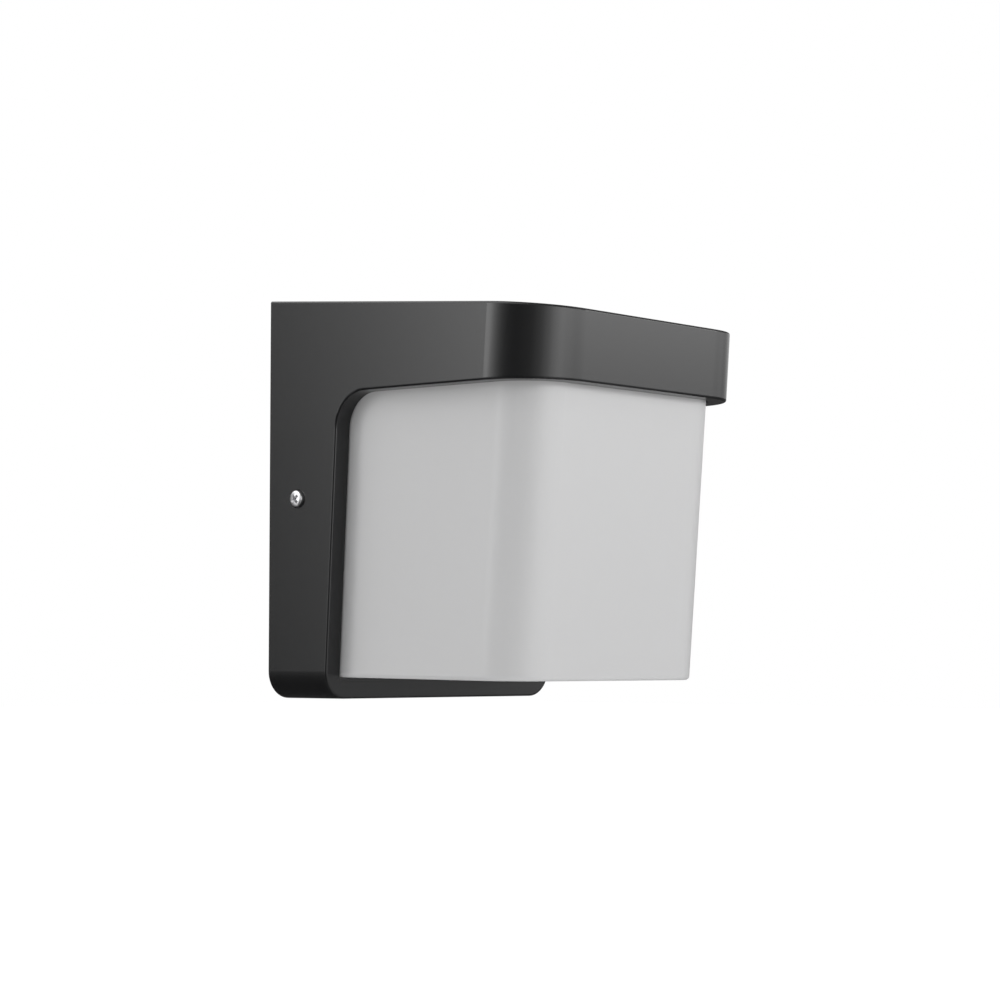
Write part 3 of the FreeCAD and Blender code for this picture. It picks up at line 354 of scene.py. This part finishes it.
@dataclass(frozen=True)
class Finish:
    """One surface finish. Sizes are in millimetres."""

    slot: str
    color: Color
    roughness: float
    metallic: float = 0.0
    grain_size: float = 0.5
    grain_depth: float = 0.01
    drift: float = 0.08
    rough_drift: float = 0.15
    # Edge line amount and colour: rubbing on worn finishes, a painted highlight on the black housing.
    wear_and_highlight: float = 0.0
    wear_and_highlight_color: Color = (0.35, 0.35, 0.36)
    dust: float = 0.05
    dust_color: Color = (0.42, 0.40, 0.37)
    marks: float = 0.0
    coat: float = 0.0
    ior: float = 1.5
    subsurface: float = 0.0
    subsurface_reach: float = 1.0
    tone_size: float = 45.0
    rough_size: float = 9.0
    mark_size: float = 5.0
    mark_rough: float = 0.25
    wear_and_highlight_reach: float = 0.5
    dust_size: float = 4.0
    dust_rough: float = 0.5
    grain_softness: float = 0.6
    coat_roughness: float = 0.08

    def build(self, groups: SurfaceGroups) -> bpy.types.Material:
        """Make the material.

        Args:
            groups: the shared effects.

        Returns:
            The new material.
        """
        material = bpy.data.materials.new(self.slot)
        material.use_nodes = True
        graph = Graph(material.node_tree)
        shader = graph.add("ShaderNodeBsdfPrincipled")
        output = graph.add("ShaderNodeOutputMaterial")
        graph.feed(output.inputs["Surface"], shader.outputs[0])

        tone = self._effect(graph, groups.drift, Size=self.tone_size, Spread=self.drift)
        rough_tone = self._effect(graph, groups.drift, Size=self.rough_size, Spread=self.rough_drift)
        color = graph.add("ShaderNodeVectorMath", operation="SCALE")
        color.inputs[0].default_value = self.color
        graph.feed(color.inputs["Scale"], tone)
        shade = self.shade(graph, color.outputs[0])
        roughness = graph.math("MULTIPLY", rough_tone, self.roughness, clamp=True)
        if self.marks:
            mask = self._effect(graph, groups.marks, Size=self.mark_size, Amount=self.marks)
            roughness = graph.math("ADD", roughness, graph.math("MULTIPLY", mask, self.mark_rough), clamp=True)
        # The edge line is rubbing on worn finishes and a painted highlight on the black housing's edges.
        if self.wear_and_highlight:
            mask = self._effect(graph, groups.wear_and_highlight, Reach=self.wear_and_highlight_reach, Amount=self.wear_and_highlight)
            shade = graph.mix(mask, shade, (*self.wear_and_highlight_color, 1.0))
        if self.dust:
            mask = self._effect(graph, groups.dust, Size=self.dust_size, Amount=self.dust)
            shade = graph.mix(mask, shade, (*self.dust_color, 1.0))
            roughness = graph.math("ADD", roughness, graph.math("MULTIPLY", mask, self.dust_rough), clamp=True)
        graph.feed(shader.inputs["Base Color"], shade)
        graph.feed(shader.inputs["Roughness"], roughness)

        bump = graph.add("ShaderNodeBump")
        bump.inputs["Strength"].default_value = 1.0
        bump.inputs["Distance"].default_value = self.grain_depth * MM
        graph.feed(bump.inputs["Height"], self.relief(graph, groups))
        graph.feed(shader.inputs["Normal"], bump.outputs[0])

        shader.inputs["Metallic"].default_value = self.metallic
        shader.inputs["IOR"].default_value = self.ior
        shader.inputs["Coat Weight"].default_value = self.coat
        shader.inputs["Coat Roughness"].default_value = self.coat_roughness
        shader.inputs["Subsurface Weight"].default_value = self.subsurface
        shader.inputs["Subsurface Radius"].default_value = (1.0, 1.0, 1.0)
        shader.inputs["Subsurface Scale"].default_value = self.subsurface_reach * MM
        return material

    def shade(self, graph: Graph, color: bpy.types.NodeSocket) -> bpy.types.NodeSocket:
        """The clean base colour, which a finish of its own kind may change."""
        return color

    def relief(self, graph: Graph, groups: SurfaceGroups) -> bpy.types.NodeSocket:
        """The height that feeds the bump."""
        return self._effect(graph, groups.grain, Size=self.grain_size, Softness=self.grain_softness)

    @staticmethod
    def _effect(graph: Graph, group: bpy.types.NodeTree, **values: float) -> bpy.types.NodeSocket:
        """Place a shared group with its own values.

        Args:
            graph: the material's tree.
            group: the shared group.
            values: the group's inputs by name.

        Returns:
            The group's output.
        """
        node = graph.add("ShaderNodeGroup", node_tree=group)
        for label, value in values.items():
            node.inputs[label].default_value = value
        return node.outputs[0]


@dataclass(frozen=True)
class BrushedFinish(Finish):
    """Metal with fine lines across one axis."""

    line_axis: int = 0
    line_stretch: float = 30.0

    def relief(self, graph: Graph, groups: SurfaceGroups) -> bpy.types.NodeSocket:
        """Noise stretched into lines.

        Args:
            graph: the material's tree.
            groups: the shared effects, which this finish doesn't use.

        Returns:
            The height.
        """
        stretch = graph.add("ShaderNodeMapping")
        graph.feed(stretch.inputs["Vector"], graph.place())
        scale = [self.line_stretch] * 3
        scale[self.line_axis] = 1.0
        stretch.inputs["Scale"].default_value = scale
        return graph.noise(stretch.outputs[0], 1.0 / (self.grain_size * self.line_stretch * MM), detail=3.0)


class Finishes:
    """Every finish of the lantern, built once and fetched by its slot."""

    ALL: tuple[Finish, ...] = (
        # The housing's lighter edge line is a painted highlight along its edges, with a little rubbing.
        Finish("black_housing", (0.0078, 0.0079, 0.0082), 0.20, grain_size=0.55, grain_depth=0.004, drift=0.10,
               rough_drift=0.12, wear_and_highlight=0.10, wear_and_highlight_color=(0.10, 0.10, 0.105), dust=0.015, marks=0.10),
        Finish("opal_diffuser", (0.452, 0.452, 0.455), 0.34, grain_size=0.9, grain_depth=0.003, drift=0.012,
               rough_drift=0.08, dust=0.0, marks=0.08, subsurface=0.25, subsurface_reach=3.0),
        Finish("cast_plate", (0.55, 0.56, 0.57), 0.48, metallic=1.0, grain_size=0.8, grain_depth=0.03, drift=0.18,
               rough_drift=0.3, marks=0.2),
        Finish("rubber", (0.016, 0.016, 0.017), 0.72, grain_size=0.3, grain_depth=0.012, dust=0.08),
        BrushedFinish("zinc_steel", (0.60, 0.61, 0.63), 0.34, metallic=1.0, grain_size=0.12, grain_depth=0.002,
                      drift=0.16, rough_drift=0.35, marks=0.2),
        BrushedFinish("side_screw", (0.84, 0.84, 0.85), 0.36, metallic=1.0, grain_size=0.08, grain_depth=0.0015,
                      drift=0.12, rough_drift=0.4, line_axis=2),
        Finish("white_paint", (0.78, 0.78, 0.77), 0.45, grain_size=0.5, grain_depth=0.006, drift=0.03, wear_and_highlight=0.15),
        Finish("white_plastic", (0.72, 0.72, 0.70), 0.38, grain_size=0.4, grain_depth=0.004, drift=0.03),
        Finish("opal_globe", (0.84, 0.84, 0.82), 0.32, grain_size=0.8, grain_depth=0.002, drift=0.02,
               subsurface=0.3, subsurface_reach=2.0),
        Finish("porcelain", (0.74, 0.73, 0.69), 0.22, grain_size=1.2, grain_depth=0.01, drift=0.05, coat=0.6),
        BrushedFinish("brass", (0.72, 0.52, 0.22), 0.30, metallic=1.0, grain_size=0.15, grain_depth=0.002,
                      drift=0.2, rough_drift=0.4),
        Finish("nickel_cap", (0.66, 0.65, 0.62), 0.24, metallic=1.0, grain_size=0.5, grain_depth=0.004, drift=0.15,
               rough_drift=0.4, marks=0.3),
        Finish("dark_insulator", (0.02, 0.018, 0.018), 0.18, grain_size=0.6, grain_depth=0.004, coat=0.3),
        Finish("circuit_board", (0.70, 0.73, 0.71), 0.42, grain_size=0.3, grain_depth=0.006, drift=0.06),
        Finish("led_chip", (0.86, 0.62, 0.10), 0.3, grain_size=0.2, grain_depth=0.003, coat=0.5),
        Finish("live_wire", (0.16, 0.06, 0.022), 0.34, grain_size=0.5, grain_depth=0.004),
        Finish("neutral_wire", (0.02, 0.07, 0.32), 0.34, grain_size=0.5, grain_depth=0.004),
        Finish("earth_wire", (0.16, 0.40, 0.03), 0.34, grain_size=0.5, grain_depth=0.004),
    )

    def __init__(self) -> None:
        """Build the shared groups and every material."""
        groups = SurfaceGroups()
        self.materials = {finish.slot: finish.build(groups) for finish in self.ALL}

    def paint(self, piece: bpy.types.Object, slot: str) -> None:
        """Give a made piece its finish.

        Args:
            piece: the object to paint.
            slot: the finish's slot.
        """
        piece.data.materials.clear()
        piece.data.materials.append(self.materials[slot])

    def dress_solids(self) -> None:
        """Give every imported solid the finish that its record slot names."""
        for part in frame["record"]["subparts"]:
            solid = frame["nodes"][part["node"]]
            for holder in solid.material_slots:
                holder.material = self.materials[part["material_slot"]]


# ---- Meshes ------------------------------------------------------------------------------------------------
def in_scene(name: str, data: bpy.types.ID) -> bpy.types.Object:
    """Make an object of the data and link it to the scene.

    Args:
        name: the object's name.
        data: its mesh or camera.

    Returns:
        The new object.
    """
    made = bpy.data.objects.new(name, data)
    bpy.context.scene.collection.objects.link(made)
    return made


class Mesher:
    """Makes objects from outlines."""

    SHARP = math.radians(35)
    WELD = 1e-7
    SLIVER = 1e-8

    @classmethod
    def finish_mesh(cls, name: str, mesh: bmesh.types.BMesh) -> bpy.types.Object:
        """Turn a bmesh into a linked object with smooth faces and sharp corners.

        Args:
            name: the object's name.
            mesh: the bmesh, freed here.

        Returns:
            The new object.
        """
        bmesh.ops.remove_doubles(mesh, verts=mesh.verts, dist=cls.WELD)
        bmesh.ops.recalc_face_normals(mesh, faces=mesh.faces)
        data = bpy.data.meshes.new(name)
        mesh.to_mesh(data)
        mesh.free()
        data.polygons.foreach_set("use_smooth", [True] * len(data.polygons))
        data.set_sharp_from_angle(angle=cls.SHARP)
        return in_scene(name, data)

    @staticmethod
    def frame_at(base: Vector, axis: Vector) -> Matrix:
        """The placement whose z runs along axis from base."""
        return Matrix.Translation(base) @ axis.to_track_quat("Z", "Y").to_matrix().to_4x4()

    @classmethod
    def grid(cls, name: str, rows: Sequence[Sequence[Vector]], looped: bool = True) -> bpy.types.Object:
        """A closed surface through rings of points.

        Args:
            name: the object's name.
            rows: rings of equally many points, in order along the section.
            looped: whether the last ring joins the first; otherwise both are points on the axis.

        Returns:
            The new object.
        """
        mesh = bmesh.new()
        rings = [[mesh.verts.new(point) for point in row] for row in rows]
        count = len(rings[0])
        for index, ring in enumerate(rings if looped else rings[:-1]):
            following = rings[(index + 1) % len(rings)]
            for step in range(count):
                after = (step + 1) % count
                mesh.faces.new((ring[step], ring[after], following[after], following[step]))
        bmesh.ops.dissolve_degenerate(mesh, dist=cls.SLIVER, edges=mesh.edges)
        return cls.finish_mesh(name, mesh)

    @classmethod
    def lathe(cls, name: str, profile: Profile, base: Vector, axis: Vector, steps: int = 96) -> bpy.types.Object:
        """Turn a closed (radius, height) outline about axis from base.

        Args:
            name: the object's name.
            profile: the outline's points; a radius of zero lies on the axis.
            base: where height zero is.
            axis: the way height grows.
            steps: points round the turn.

        Returns:
            The new object.
        """
        place = cls.frame_at(base, axis)
        rows = []
        for radius, height in profile:
            ring = []
            for step in range(steps):
                angle = 2 * math.pi * step / steps
                ring.append(place @ Vector((radius * math.cos(angle), radius * math.sin(angle), height)))
            rows.append(ring)
        return cls.grid(name, rows, looped=profile[0][0] > 0)

    @staticmethod
    def arc(centre: tuple[float, float], radius: float, start: float, end: float,
            steps: int) -> list[tuple[float, float]]:
        """Points on a circle in the outline's plane.

        Args:
            centre: the circle's middle, as radius and height.
            radius: the circle's radius.
            start: the first angle, in degrees from the radius axis.
            end: the last angle.
            steps: the number of spans between the points.

        Returns:
            The points from start to end.
        """
        points = []
        for step in range(steps + 1):
            angle = math.radians(start + (end - start) * step / steps)
            points.append((centre[0] + radius * math.cos(angle), centre[1] + radius * math.sin(angle)))
        return points

    @staticmethod
    def cut(piece: bpy.types.Object, cutter: bpy.types.Object) -> None:
        """Cut one object out of another.

        Args:
            piece: the object that is cut.
            cutter: the object to take away, deleted here.
        """
        modifier = piece.modifiers.new("cut", "BOOLEAN")
        modifier.operation = "DIFFERENCE"
        modifier.solver = "EXACT"
        modifier.object = cutter
        bpy.context.view_layer.update()
        graph = bpy.context.evaluated_depsgraph_get()
        made = bpy.data.meshes.new_from_object(piece.evaluated_get(graph))
        piece.modifiers.clear()
        piece.data = made
        bpy.data.objects.remove(cutter)
        made.set_sharp_from_angle(angle=Mesher.SHARP)


def middle(node: str) -> Vector:
    """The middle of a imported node's box."""
    low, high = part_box(node)
    return (low + high) / 2


# ---- Sub-assemblies ----------------------------------------------------------------------------------------
@dataclass
class CoverScrew:
    """A pan-head side screw with a cross recess and a rolled thread."""

    side: Side
    shank_radius: float = 2.0 * MM
    head_radius: float = 3.65 * MM
    head_height: float = 2.4 * MM
    rim_height: float = 1.05 * MM
    crown_power: float = 0.38
    root_depth: float = 0.3 * MM
    pitch: float = 0.7 * MM
    wing_width: float = 1.35 * MM
    recess_radius: float = 2.35 * MM
    recess_depth: float = 2.3 * MM
    recess_turn: float = math.radians(38)
    tip_share: float = 0.62
    neck_share: float = 0.9
    thread_foot: float = 0.6
    crest: tuple[float, float] = (0.42, 0.58)
    seat_round: float = 0.15 * MM
    crown_steps: int = 14
    steps: int = 128
    recess_lead: float = 0.5 * MM
    lead_spread: tuple[float, float] = (1.12, 1.1)
    foot_taper: tuple[float, float] = (0.5, 0.8)

    def build(self, finishes: Finishes) -> None:
        """Make the screw in the place of its solid.

        Args:
            finishes: the finishes to paint from.
        """
        name = self.side.name.lower()
        node = f"{name}_cover_screw"
        low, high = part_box(node)
        outward = Vector((self.side.value, 0, 0))
        length = high.x - low.x
        tip = middle(node) - outward * length / 2
        seat = length - self.head_height
        piece = Mesher.lathe(f"{name}_side_screw", self._outline(seat, length), tip, outward, self.steps)
        for turn in (self.recess_turn, self.recess_turn + math.pi / 2):
            Mesher.cut(piece, self._blade(tip + outward * length, outward, turn))
        finishes.paint(piece, "side_screw")
        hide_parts(node)
        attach(piece, (Body.LEFT_SCREW if self.side is Side.LEFT else Body.RIGHT_SCREW).value)
        log.info("made %s", piece.name)

    def _outline(self, seat: float, length: float) -> list[tuple[float, float]]:
        """The screw's outline.

        Args:
            seat: the height of the head's underside above the tip.
            length: the whole height.

        Returns:
            The (radius, height) points from the tip to the crown.
        """
        points = [(0.0, 0.0), (self.shank_radius * self.tip_share, 0.0)]
        turns = int((seat - 2 * self.pitch) / self.pitch)
        for turn in range(turns):
            foot = self.pitch * (turn + self.thread_foot)
            points.append((self.shank_radius - self.root_depth, foot))
            points += [(self.shank_radius, foot + self.pitch * share) for share in self.crest]
        neck = self.shank_radius * self.neck_share
        points += [(neck, self.pitch * (turns + self.thread_foot)), (neck, seat),
                   (self.head_radius - self.seat_round, seat), (self.head_radius, seat + self.seat_round),
                   (self.head_radius, seat + self.rim_height)]
        rise = length - seat - self.rim_height
        for step in range(1, self.crown_steps):
            angle = math.pi / 2 * step / self.crown_steps
            points.append((self.head_radius * math.cos(angle),
                           seat + self.rim_height + rise * math.sin(angle) ** self.crown_power))
        points.append((0.0, length))
        return points

    def _blade(self, crown: Vector, outward: Vector, turn: float) -> bpy.types.Object:
        """One tapered bar of the cross that is cut into the crown.

        Args:
            crown: the middle of the crown.
            outward: the way the crown faces.
            turn: the bar's turn about that way.

        Returns:
            The bar.
        """
        mesh = bmesh.new()
        place = Mesher.frame_at(crown, outward) @ Matrix.Rotation(turn, 4, "Z")
        rings = []
        for height, (longer, wider) in ((self.recess_lead, self.lead_spread), (-self.recess_depth, self.foot_taper)):
            reach, width = self.recess_radius * longer, self.wing_width * wider
            corners = ((-reach, -width / 2), (reach, -width / 2), (reach, width / 2), (-reach, width / 2))
            rings.append([mesh.verts.new(place @ Vector((x, y, height))) for x, y in corners])
        top, foot = rings
        mesh.faces.new(top)
        mesh.faces.new(foot[::-1])
        for index in range(4):
            after = (index + 1) % 4
            mesh.faces.new((top[index], foot[index], foot[after], top[after]))
        return Mesher.finish_mesh("blade", mesh)


@dataclass
class ScrewShell:
    """A rolled screw shell: a sleeve whose wall follows a round thread."""

    name: str
    outer_radius: float
    wall: float
    thread_depth: float
    low: float
    high: float
    axis_z: float
    pitch: float = 3.62 * MM
    plain_end: float = 1.2 * MM
    steps: int = 96
    rows_per_pitch: int = 10

    def build(self) -> bpy.types.Object:
        """Make the shell along -Y from depth low to depth high.

        Returns:
            The new object.
        """
        rows_up = max(2, int((self.high - self.low) / self.pitch * self.rows_per_pitch))
        outer, inner = [], []
        for row in range(rows_up + 1):
            depth = self.low + (self.high - self.low) * row / rows_up
            outer.append(self._ring(depth, 0.0))
            inner.append(self._ring(depth, self.wall))
        return Mesher.grid(self.name, outer + inner[::-1])

    def _ring(self, depth: float, inwards: float) -> list[Vector]:
        """One ring of points.

        Args:
            depth: how far the ring is from the wall plane.
            inwards: how far it lies inside the outer face.

        Returns:
            The ring's points.
        """
        fade = min(1.0, (depth - self.low) / self.plain_end, (self.high - depth) / self.plain_end)
        ring = []
        for step in range(self.steps):
            angle = 2 * math.pi * step / self.steps
            wave = 0.5 - 0.5 * math.cos(2 * math.pi * depth / self.pitch - angle)
            radius = self.outer_radius - self.thread_depth * wave * max(fade, 0.0) - inwards
            ring.append(Vector((radius * math.cos(angle), -depth, self.axis_z + radius * math.sin(angle))))
        return ring


@dataclass
class Bulb:
    """The opal lamp with its screw cap."""

    neck_radius: float = 14.2 * MM
    neck_round: float = 0.4 * MM
    neck_inside: float = 2 * MM
    rim_straight: float = 0.6 * MM
    flare_ends: float = 1.2 * MM
    flare_even: float = 0.35
    flare_bent: float = 0.65
    flare_steps: int = 28
    body_skin: float = 1.4 * MM
    globe_wall: float = 1.2 * MM
    globe_steps: int = 40
    cap_skin: float = 0.4 * MM
    cap_thread: float = 0.75 * MM
    steps: int = 128
    toward: Vector = field(default_factory=lambda: Vector((0, -1, 0)))

    def build(self, finishes: Finishes) -> None:
        """Make globe, housing and cap in the place of their solids.

        Args:
            finishes: the finishes to paint from.
        """
        axis_z = middle("bulb_globe").z
        base = Vector((0, 0, axis_z))
        self._globe(base, finishes)
        self._housing(base, finishes)
        self._cap(axis_z, finishes)

    def _globe(self, base: Vector, finishes: Finishes) -> None:
        """The smooth globe.

        Args:
            base: the lamp's axis on the wall plane.
            finishes: the finishes to paint from.
        """
        low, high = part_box("bulb_globe")
        radius = (high.z - low.z) / 2
        centre = -low.y - radius
        joint = math.degrees(math.asin((-high.y - centre) / radius))
        outer = Mesher.arc((0, centre), radius, joint, 90, self.globe_steps)
        inner = Mesher.arc((0, centre), radius - self.globe_wall, 90, joint, self.globe_steps)
        piece = Mesher.lathe("lamp_globe", outer + inner, base, self.toward, self.steps)
        self._finish(piece, "opal_globe", "bulb_globe", finishes)

    def _housing(self, base: Vector, finishes: Finishes) -> None:
        """The white body between cap and globe, a smooth flare.

        Args:
            base: the lamp's axis on the wall plane.
            finishes: the finishes to paint from.
        """
        low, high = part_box("bulb_housing")
        start, end = -high.y, -low.y
        wide = (high.z - low.z) / 2
        outer = [(self.neck_radius - self.neck_round, start), (self.neck_radius, start + self.neck_round)]
        for step in range(1, self.flare_steps):
            share = step / self.flare_steps
            bend = share * share * (3 - 2 * share)
            spread = self.flare_even * share + self.flare_bent * bend
            outer.append((self.neck_radius + (wide - self.neck_radius) * spread,
                          start + self.neck_round + (end - start - self.flare_ends) * share))
        outer += [(wide, end - self.rim_straight), (wide, end)]
        inner = [(radius - self.body_skin, height) for radius, height in outer[2:]][::-1]
        inner[0] = (wide - self.body_skin, end)
        inner += [(self.neck_radius - self.body_skin, start + self.neck_inside),
                  (self.neck_radius - self.body_skin, start)]
        piece = Mesher.lathe("lamp_body", outer + inner, base, self.toward, self.steps)
        self._finish(piece, "white_plastic", "bulb_housing", finishes)

    def _cap(self, axis_z: float, finishes: Finishes) -> None:
        """The threaded cap.

        Args:
            axis_z: the height of the lamp's axis.
            finishes: the finishes to paint from.
        """
        low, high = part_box("bulb_cap_shell")
        shell = ScrewShell("lamp_cap", (high.z - low.z) / 2, self.cap_skin, self.cap_thread, -high.y, -low.y, axis_z)
        self._finish(shell.build(), "nickel_cap", "bulb_cap_shell", finishes)

    @staticmethod
    def _finish(piece: bpy.types.Object, slot: str, node: str, finishes: Finishes) -> None:
        """Paint a piece, put it in place of its solid and let it turn with the bulb.

        Args:
            piece: the made object.
            slot: its finish.
            node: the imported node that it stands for.
            finishes: the finishes to paint from.
        """
        finishes.paint(piece, slot)
        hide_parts(node)
        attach(piece, Body.BULB.value)
        log.info("made %s", piece.name)


@dataclass
class Lampholder:
    """The lampholder's threaded metal shell."""

    wall: float = 0.2 * MM
    thread_depth: float = 0.22 * MM

    def build(self, finishes: Finishes) -> None:
        """Make the shell in the place of its solid.

        Args:
            finishes: the finishes to paint from.
        """
        low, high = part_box("lampholder_shell")
        shell = ScrewShell("holder_shell", (high.z - low.z) / 2, self.wall, self.thread_depth, -high.y, -low.y,
                           middle("lampholder_shell").z)
        piece = shell.build()
        finishes.paint(piece, "brass")
        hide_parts("lampholder_shell")
        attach(piece, Body.WALL.value)
        log.info("made %s", piece.name)


# ---- Studio ------------------------------------------------------------------------------------------------
@dataclass
class Studio:
    """A pale floor, a soft surround and the camera."""

    azimuth: float = -47.0
    elevation: float = -3.8
    distance: float = 1.0836
    aim: Vector = field(default_factory=lambda: Vector((0.0, -0.0733, -0.0004)))
    lens: float = 86.94
    floor_drop: float = 0.35
    floor_size: float = 30.0
    floor_color: Color = (0.92, 0.92, 0.92)
    floor_roughness: float = 0.9
    floor_glow: float = 0.35
    sensor: float = 36.0
    backdrop: float = 1.0
    white: Color = (1.0, 1.0, 1.0)
    # Brightness near the horizon: degrees from -X towards -Y, then level.
    surround: tuple[tuple[float, float], ...] = (
        (-180, 0.9), (-120, 0.5), (-90, 0.25), (-66, 0.08), (-55, 0.12), (-50, 0.22), (-47, 0.55), (-44.5, 1.5),
        (-42, 3.7), (-38, 5.0), (-33, 3.5), (-26, 2.1), (-17, 1.1), (-8, 0.45), (2, 0.20), (14, 0.12), (38, 0.30),
        (54, 0.95), (68, 2.4), (80, 4.6), (94, 7.3), (108, 7.4), (120, 5.8), (134, 5.2), (142, 5.0), (150, 3.0),
        (179, 0.9))
    # Share of that brightness over height, on the left and in front: degrees above the horizon, then share.
    rise_left: tuple[tuple[float, float], ...] = (
        (-90, 0.10), (-12, 0.14), (-5, 0.30), (-1, 0.50), (4, 0.66), (6, 0.78), (8.5, 1.05), (12, 1.2), (20, 0.5),
        (90, 0.5))
    rise_front: tuple[tuple[float, float], ...] = (
        (-90, 0.05), (-12, 0.08), (-4, 0.12), (-1, 0.18), (3, 0.50), (6.5, 0.98), (9, 1.18), (11.5, 0.9), (15, 0.15),
        (90, 0.15))
    overhead_front: float = 0.35
    overhead_back: float = 2.1
    overhead_from: float = 14.0
    overhead_full: float = 34.0
    rise_top: float = 1.2
    side_blend: tuple[float, float] = (-0.25, 0.30)
    back_blend: tuple[float, float] = (-0.1, 1.1)

    def build(self) -> None:
        """Make the studio."""
        self._world()
        self._floor()
        self._camera()
        view = bpy.context.scene.view_settings
        view.view_transform = "Standard"
        view.look = "None"

    @staticmethod
    def _ramp(graph: Graph, fraction: bpy.types.NodeSocket, stops: Sequence[tuple[float, float]],
              low: float, high: float, top: float) -> bpy.types.NodeSocket:
        """A grey ramp through stops.

        Args:
            graph: the tree to write in.
            fraction: the place along the ramp, from zero to one.
            stops: degrees and level of each stop.
            low: the degrees at zero.
            high: the degrees at one.
            top: the level that becomes one.

        Returns:
            The ramp's colour.
        """
        ramp = graph.add("ShaderNodeValToRGB")
        ramp.color_ramp.interpolation = "EASE"
        elements = ramp.color_ramp.elements
        while len(elements) < len(stops):
            elements.new(0.5)
        for element, (degrees, level) in zip(elements, stops):
            element.position = (degrees - low) / (high - low)
            element.color = (level / top, level / top, level / top, 1.0)
        graph.feed(ramp.inputs[0], fraction)
        return ramp.outputs[0]

    def _world(self) -> None:
        """A surround whose brightness follows the direction, behind a plain white backdrop for the camera."""
        world = bpy.data.worlds.new("studio")
        bpy.context.scene.world = world
        world.use_nodes = True
        graph = Graph(world.node_tree)
        parts = graph.add("ShaderNodeSeparateXYZ")
        graph.feed(parts.inputs[0], graph.add("ShaderNodeTexCoord").outputs["Generated"])
        x, y, z = parts.outputs
        around = graph.math("ARCTAN2", graph.math("MULTIPLY", y, -1.0), graph.math("MULTIPLY", x, -1.0))
        turn = graph.math("ADD", graph.math("DIVIDE", around, 2 * math.pi), 0.5, clamp=True)
        up = graph.math("ADD", graph.math("DIVIDE", graph.math("ARCSINE", z), math.pi), 0.5, clamp=True)
        top = max(level for _, level in self.surround)
        level = self._ramp(graph, turn, self.surround, -180, 180, top)
        left = self._ramp(graph, up, self.rise_left, -90, 90, self.rise_top)
        front = self._ramp(graph, up, self.rise_front, -90, 90, self.rise_top)
        share = graph.mix(graph.remap(x, *self.side_blend, 0.0, 1.0), left, front)
        product = graph.add("ShaderNodeMix", data_type="RGBA", blend_type="MULTIPLY")
        product.inputs[0].default_value = 1.0
        graph.feed(product.inputs[6], level)
        graph.feed(product.inputs[7], share)
        start, full = (math.sin(math.radians(angle)) for angle in (self.overhead_from, self.overhead_full))
        blend = graph.remap(z, start, full, 0.0, 1.0)
        scale = top * self.rise_top
        ahead, behind = ((level / scale,) * 3 + (1.0,) for level in (self.overhead_front, self.overhead_back))
        above = graph.mix(graph.remap(graph.math("SUBTRACT", y, x), *self.back_blend, 0.0, 1.0), ahead, behind)
        soft = graph.add("ShaderNodeBackground")
        graph.feed(soft.inputs[0], graph.mix(blend, product.outputs[2], above))
        soft.inputs[1].default_value = scale
        plain = graph.add("ShaderNodeBackground")
        plain.inputs[0].default_value = (*self.white, 1.0)
        plain.inputs[1].default_value = self.backdrop
        choose = graph.add("ShaderNodeMixShader")
        graph.feed(choose.inputs[0], graph.add("ShaderNodeLightPath").outputs["Is Camera Ray"])
        graph.feed(choose.inputs[1], soft.outputs[0])
        graph.feed(choose.inputs[2], plain.outputs[0])
        graph.feed(graph.add("ShaderNodeOutputWorld").inputs[0], choose.outputs[0])

    def _floor(self) -> None:
        """A wide pale floor, well below the lantern."""
        half = self.floor_size / 2
        height = CAD_BOX[0].z - self.floor_drop
        data = bpy.data.meshes.new("floor")
        corners = [(x * half, y * half, height) for x, y in ((-1, -1), (1, -1), (1, 1), (-1, 1))]
        data.from_pydata(corners, [], [(0, 1, 2, 3)])
        floor = in_scene("floor", data)
        material = bpy.data.materials.new("floor")
        material.use_nodes = True
        shader = material.node_tree.nodes["Principled BSDF"]
        shader.inputs["Base Color"].default_value = (*self.floor_color, 1.0)
        shader.inputs["Roughness"].default_value = self.floor_roughness
        shader.inputs["Emission Color"].default_value = (*self.white, 1.0)
        shader.inputs["Emission Strength"].default_value = self.floor_glow
        data.materials.append(material)
        floor.visible_glossy = False

    def _camera(self) -> None:
        """The camera, low on the left and looking slightly up."""
        data = bpy.data.cameras.new("camera")
        data.lens = self.lens
        data.sensor_width = self.sensor
        camera = in_scene("camera", data)
        around, up = math.radians(self.azimuth), math.radians(self.elevation)
        back = Vector((math.sin(around) * math.cos(up), -math.cos(around) * math.cos(up), math.sin(up)))
        camera.location = self.aim + back * self.distance
        camera.rotation_mode = "QUATERNION"
        camera.rotation_quaternion = (-back).to_track_quat("-Z", "Y")
        bpy.context.scene.camera = camera


def main() -> None:
    """Dress the solids, make the fine pieces and set up the studio."""
    logging.basicConfig(level=logging.INFO, format="%(name)s: %(message)s")
    finishes = Finishes()
    finishes.dress_solids()
    for side in Side:
        CoverScrew(side).build(finishes)
    Bulb().build(finishes)
    Lampholder().build(finishes)
    Studio().build()


if __name__ == "__main__":
    main()
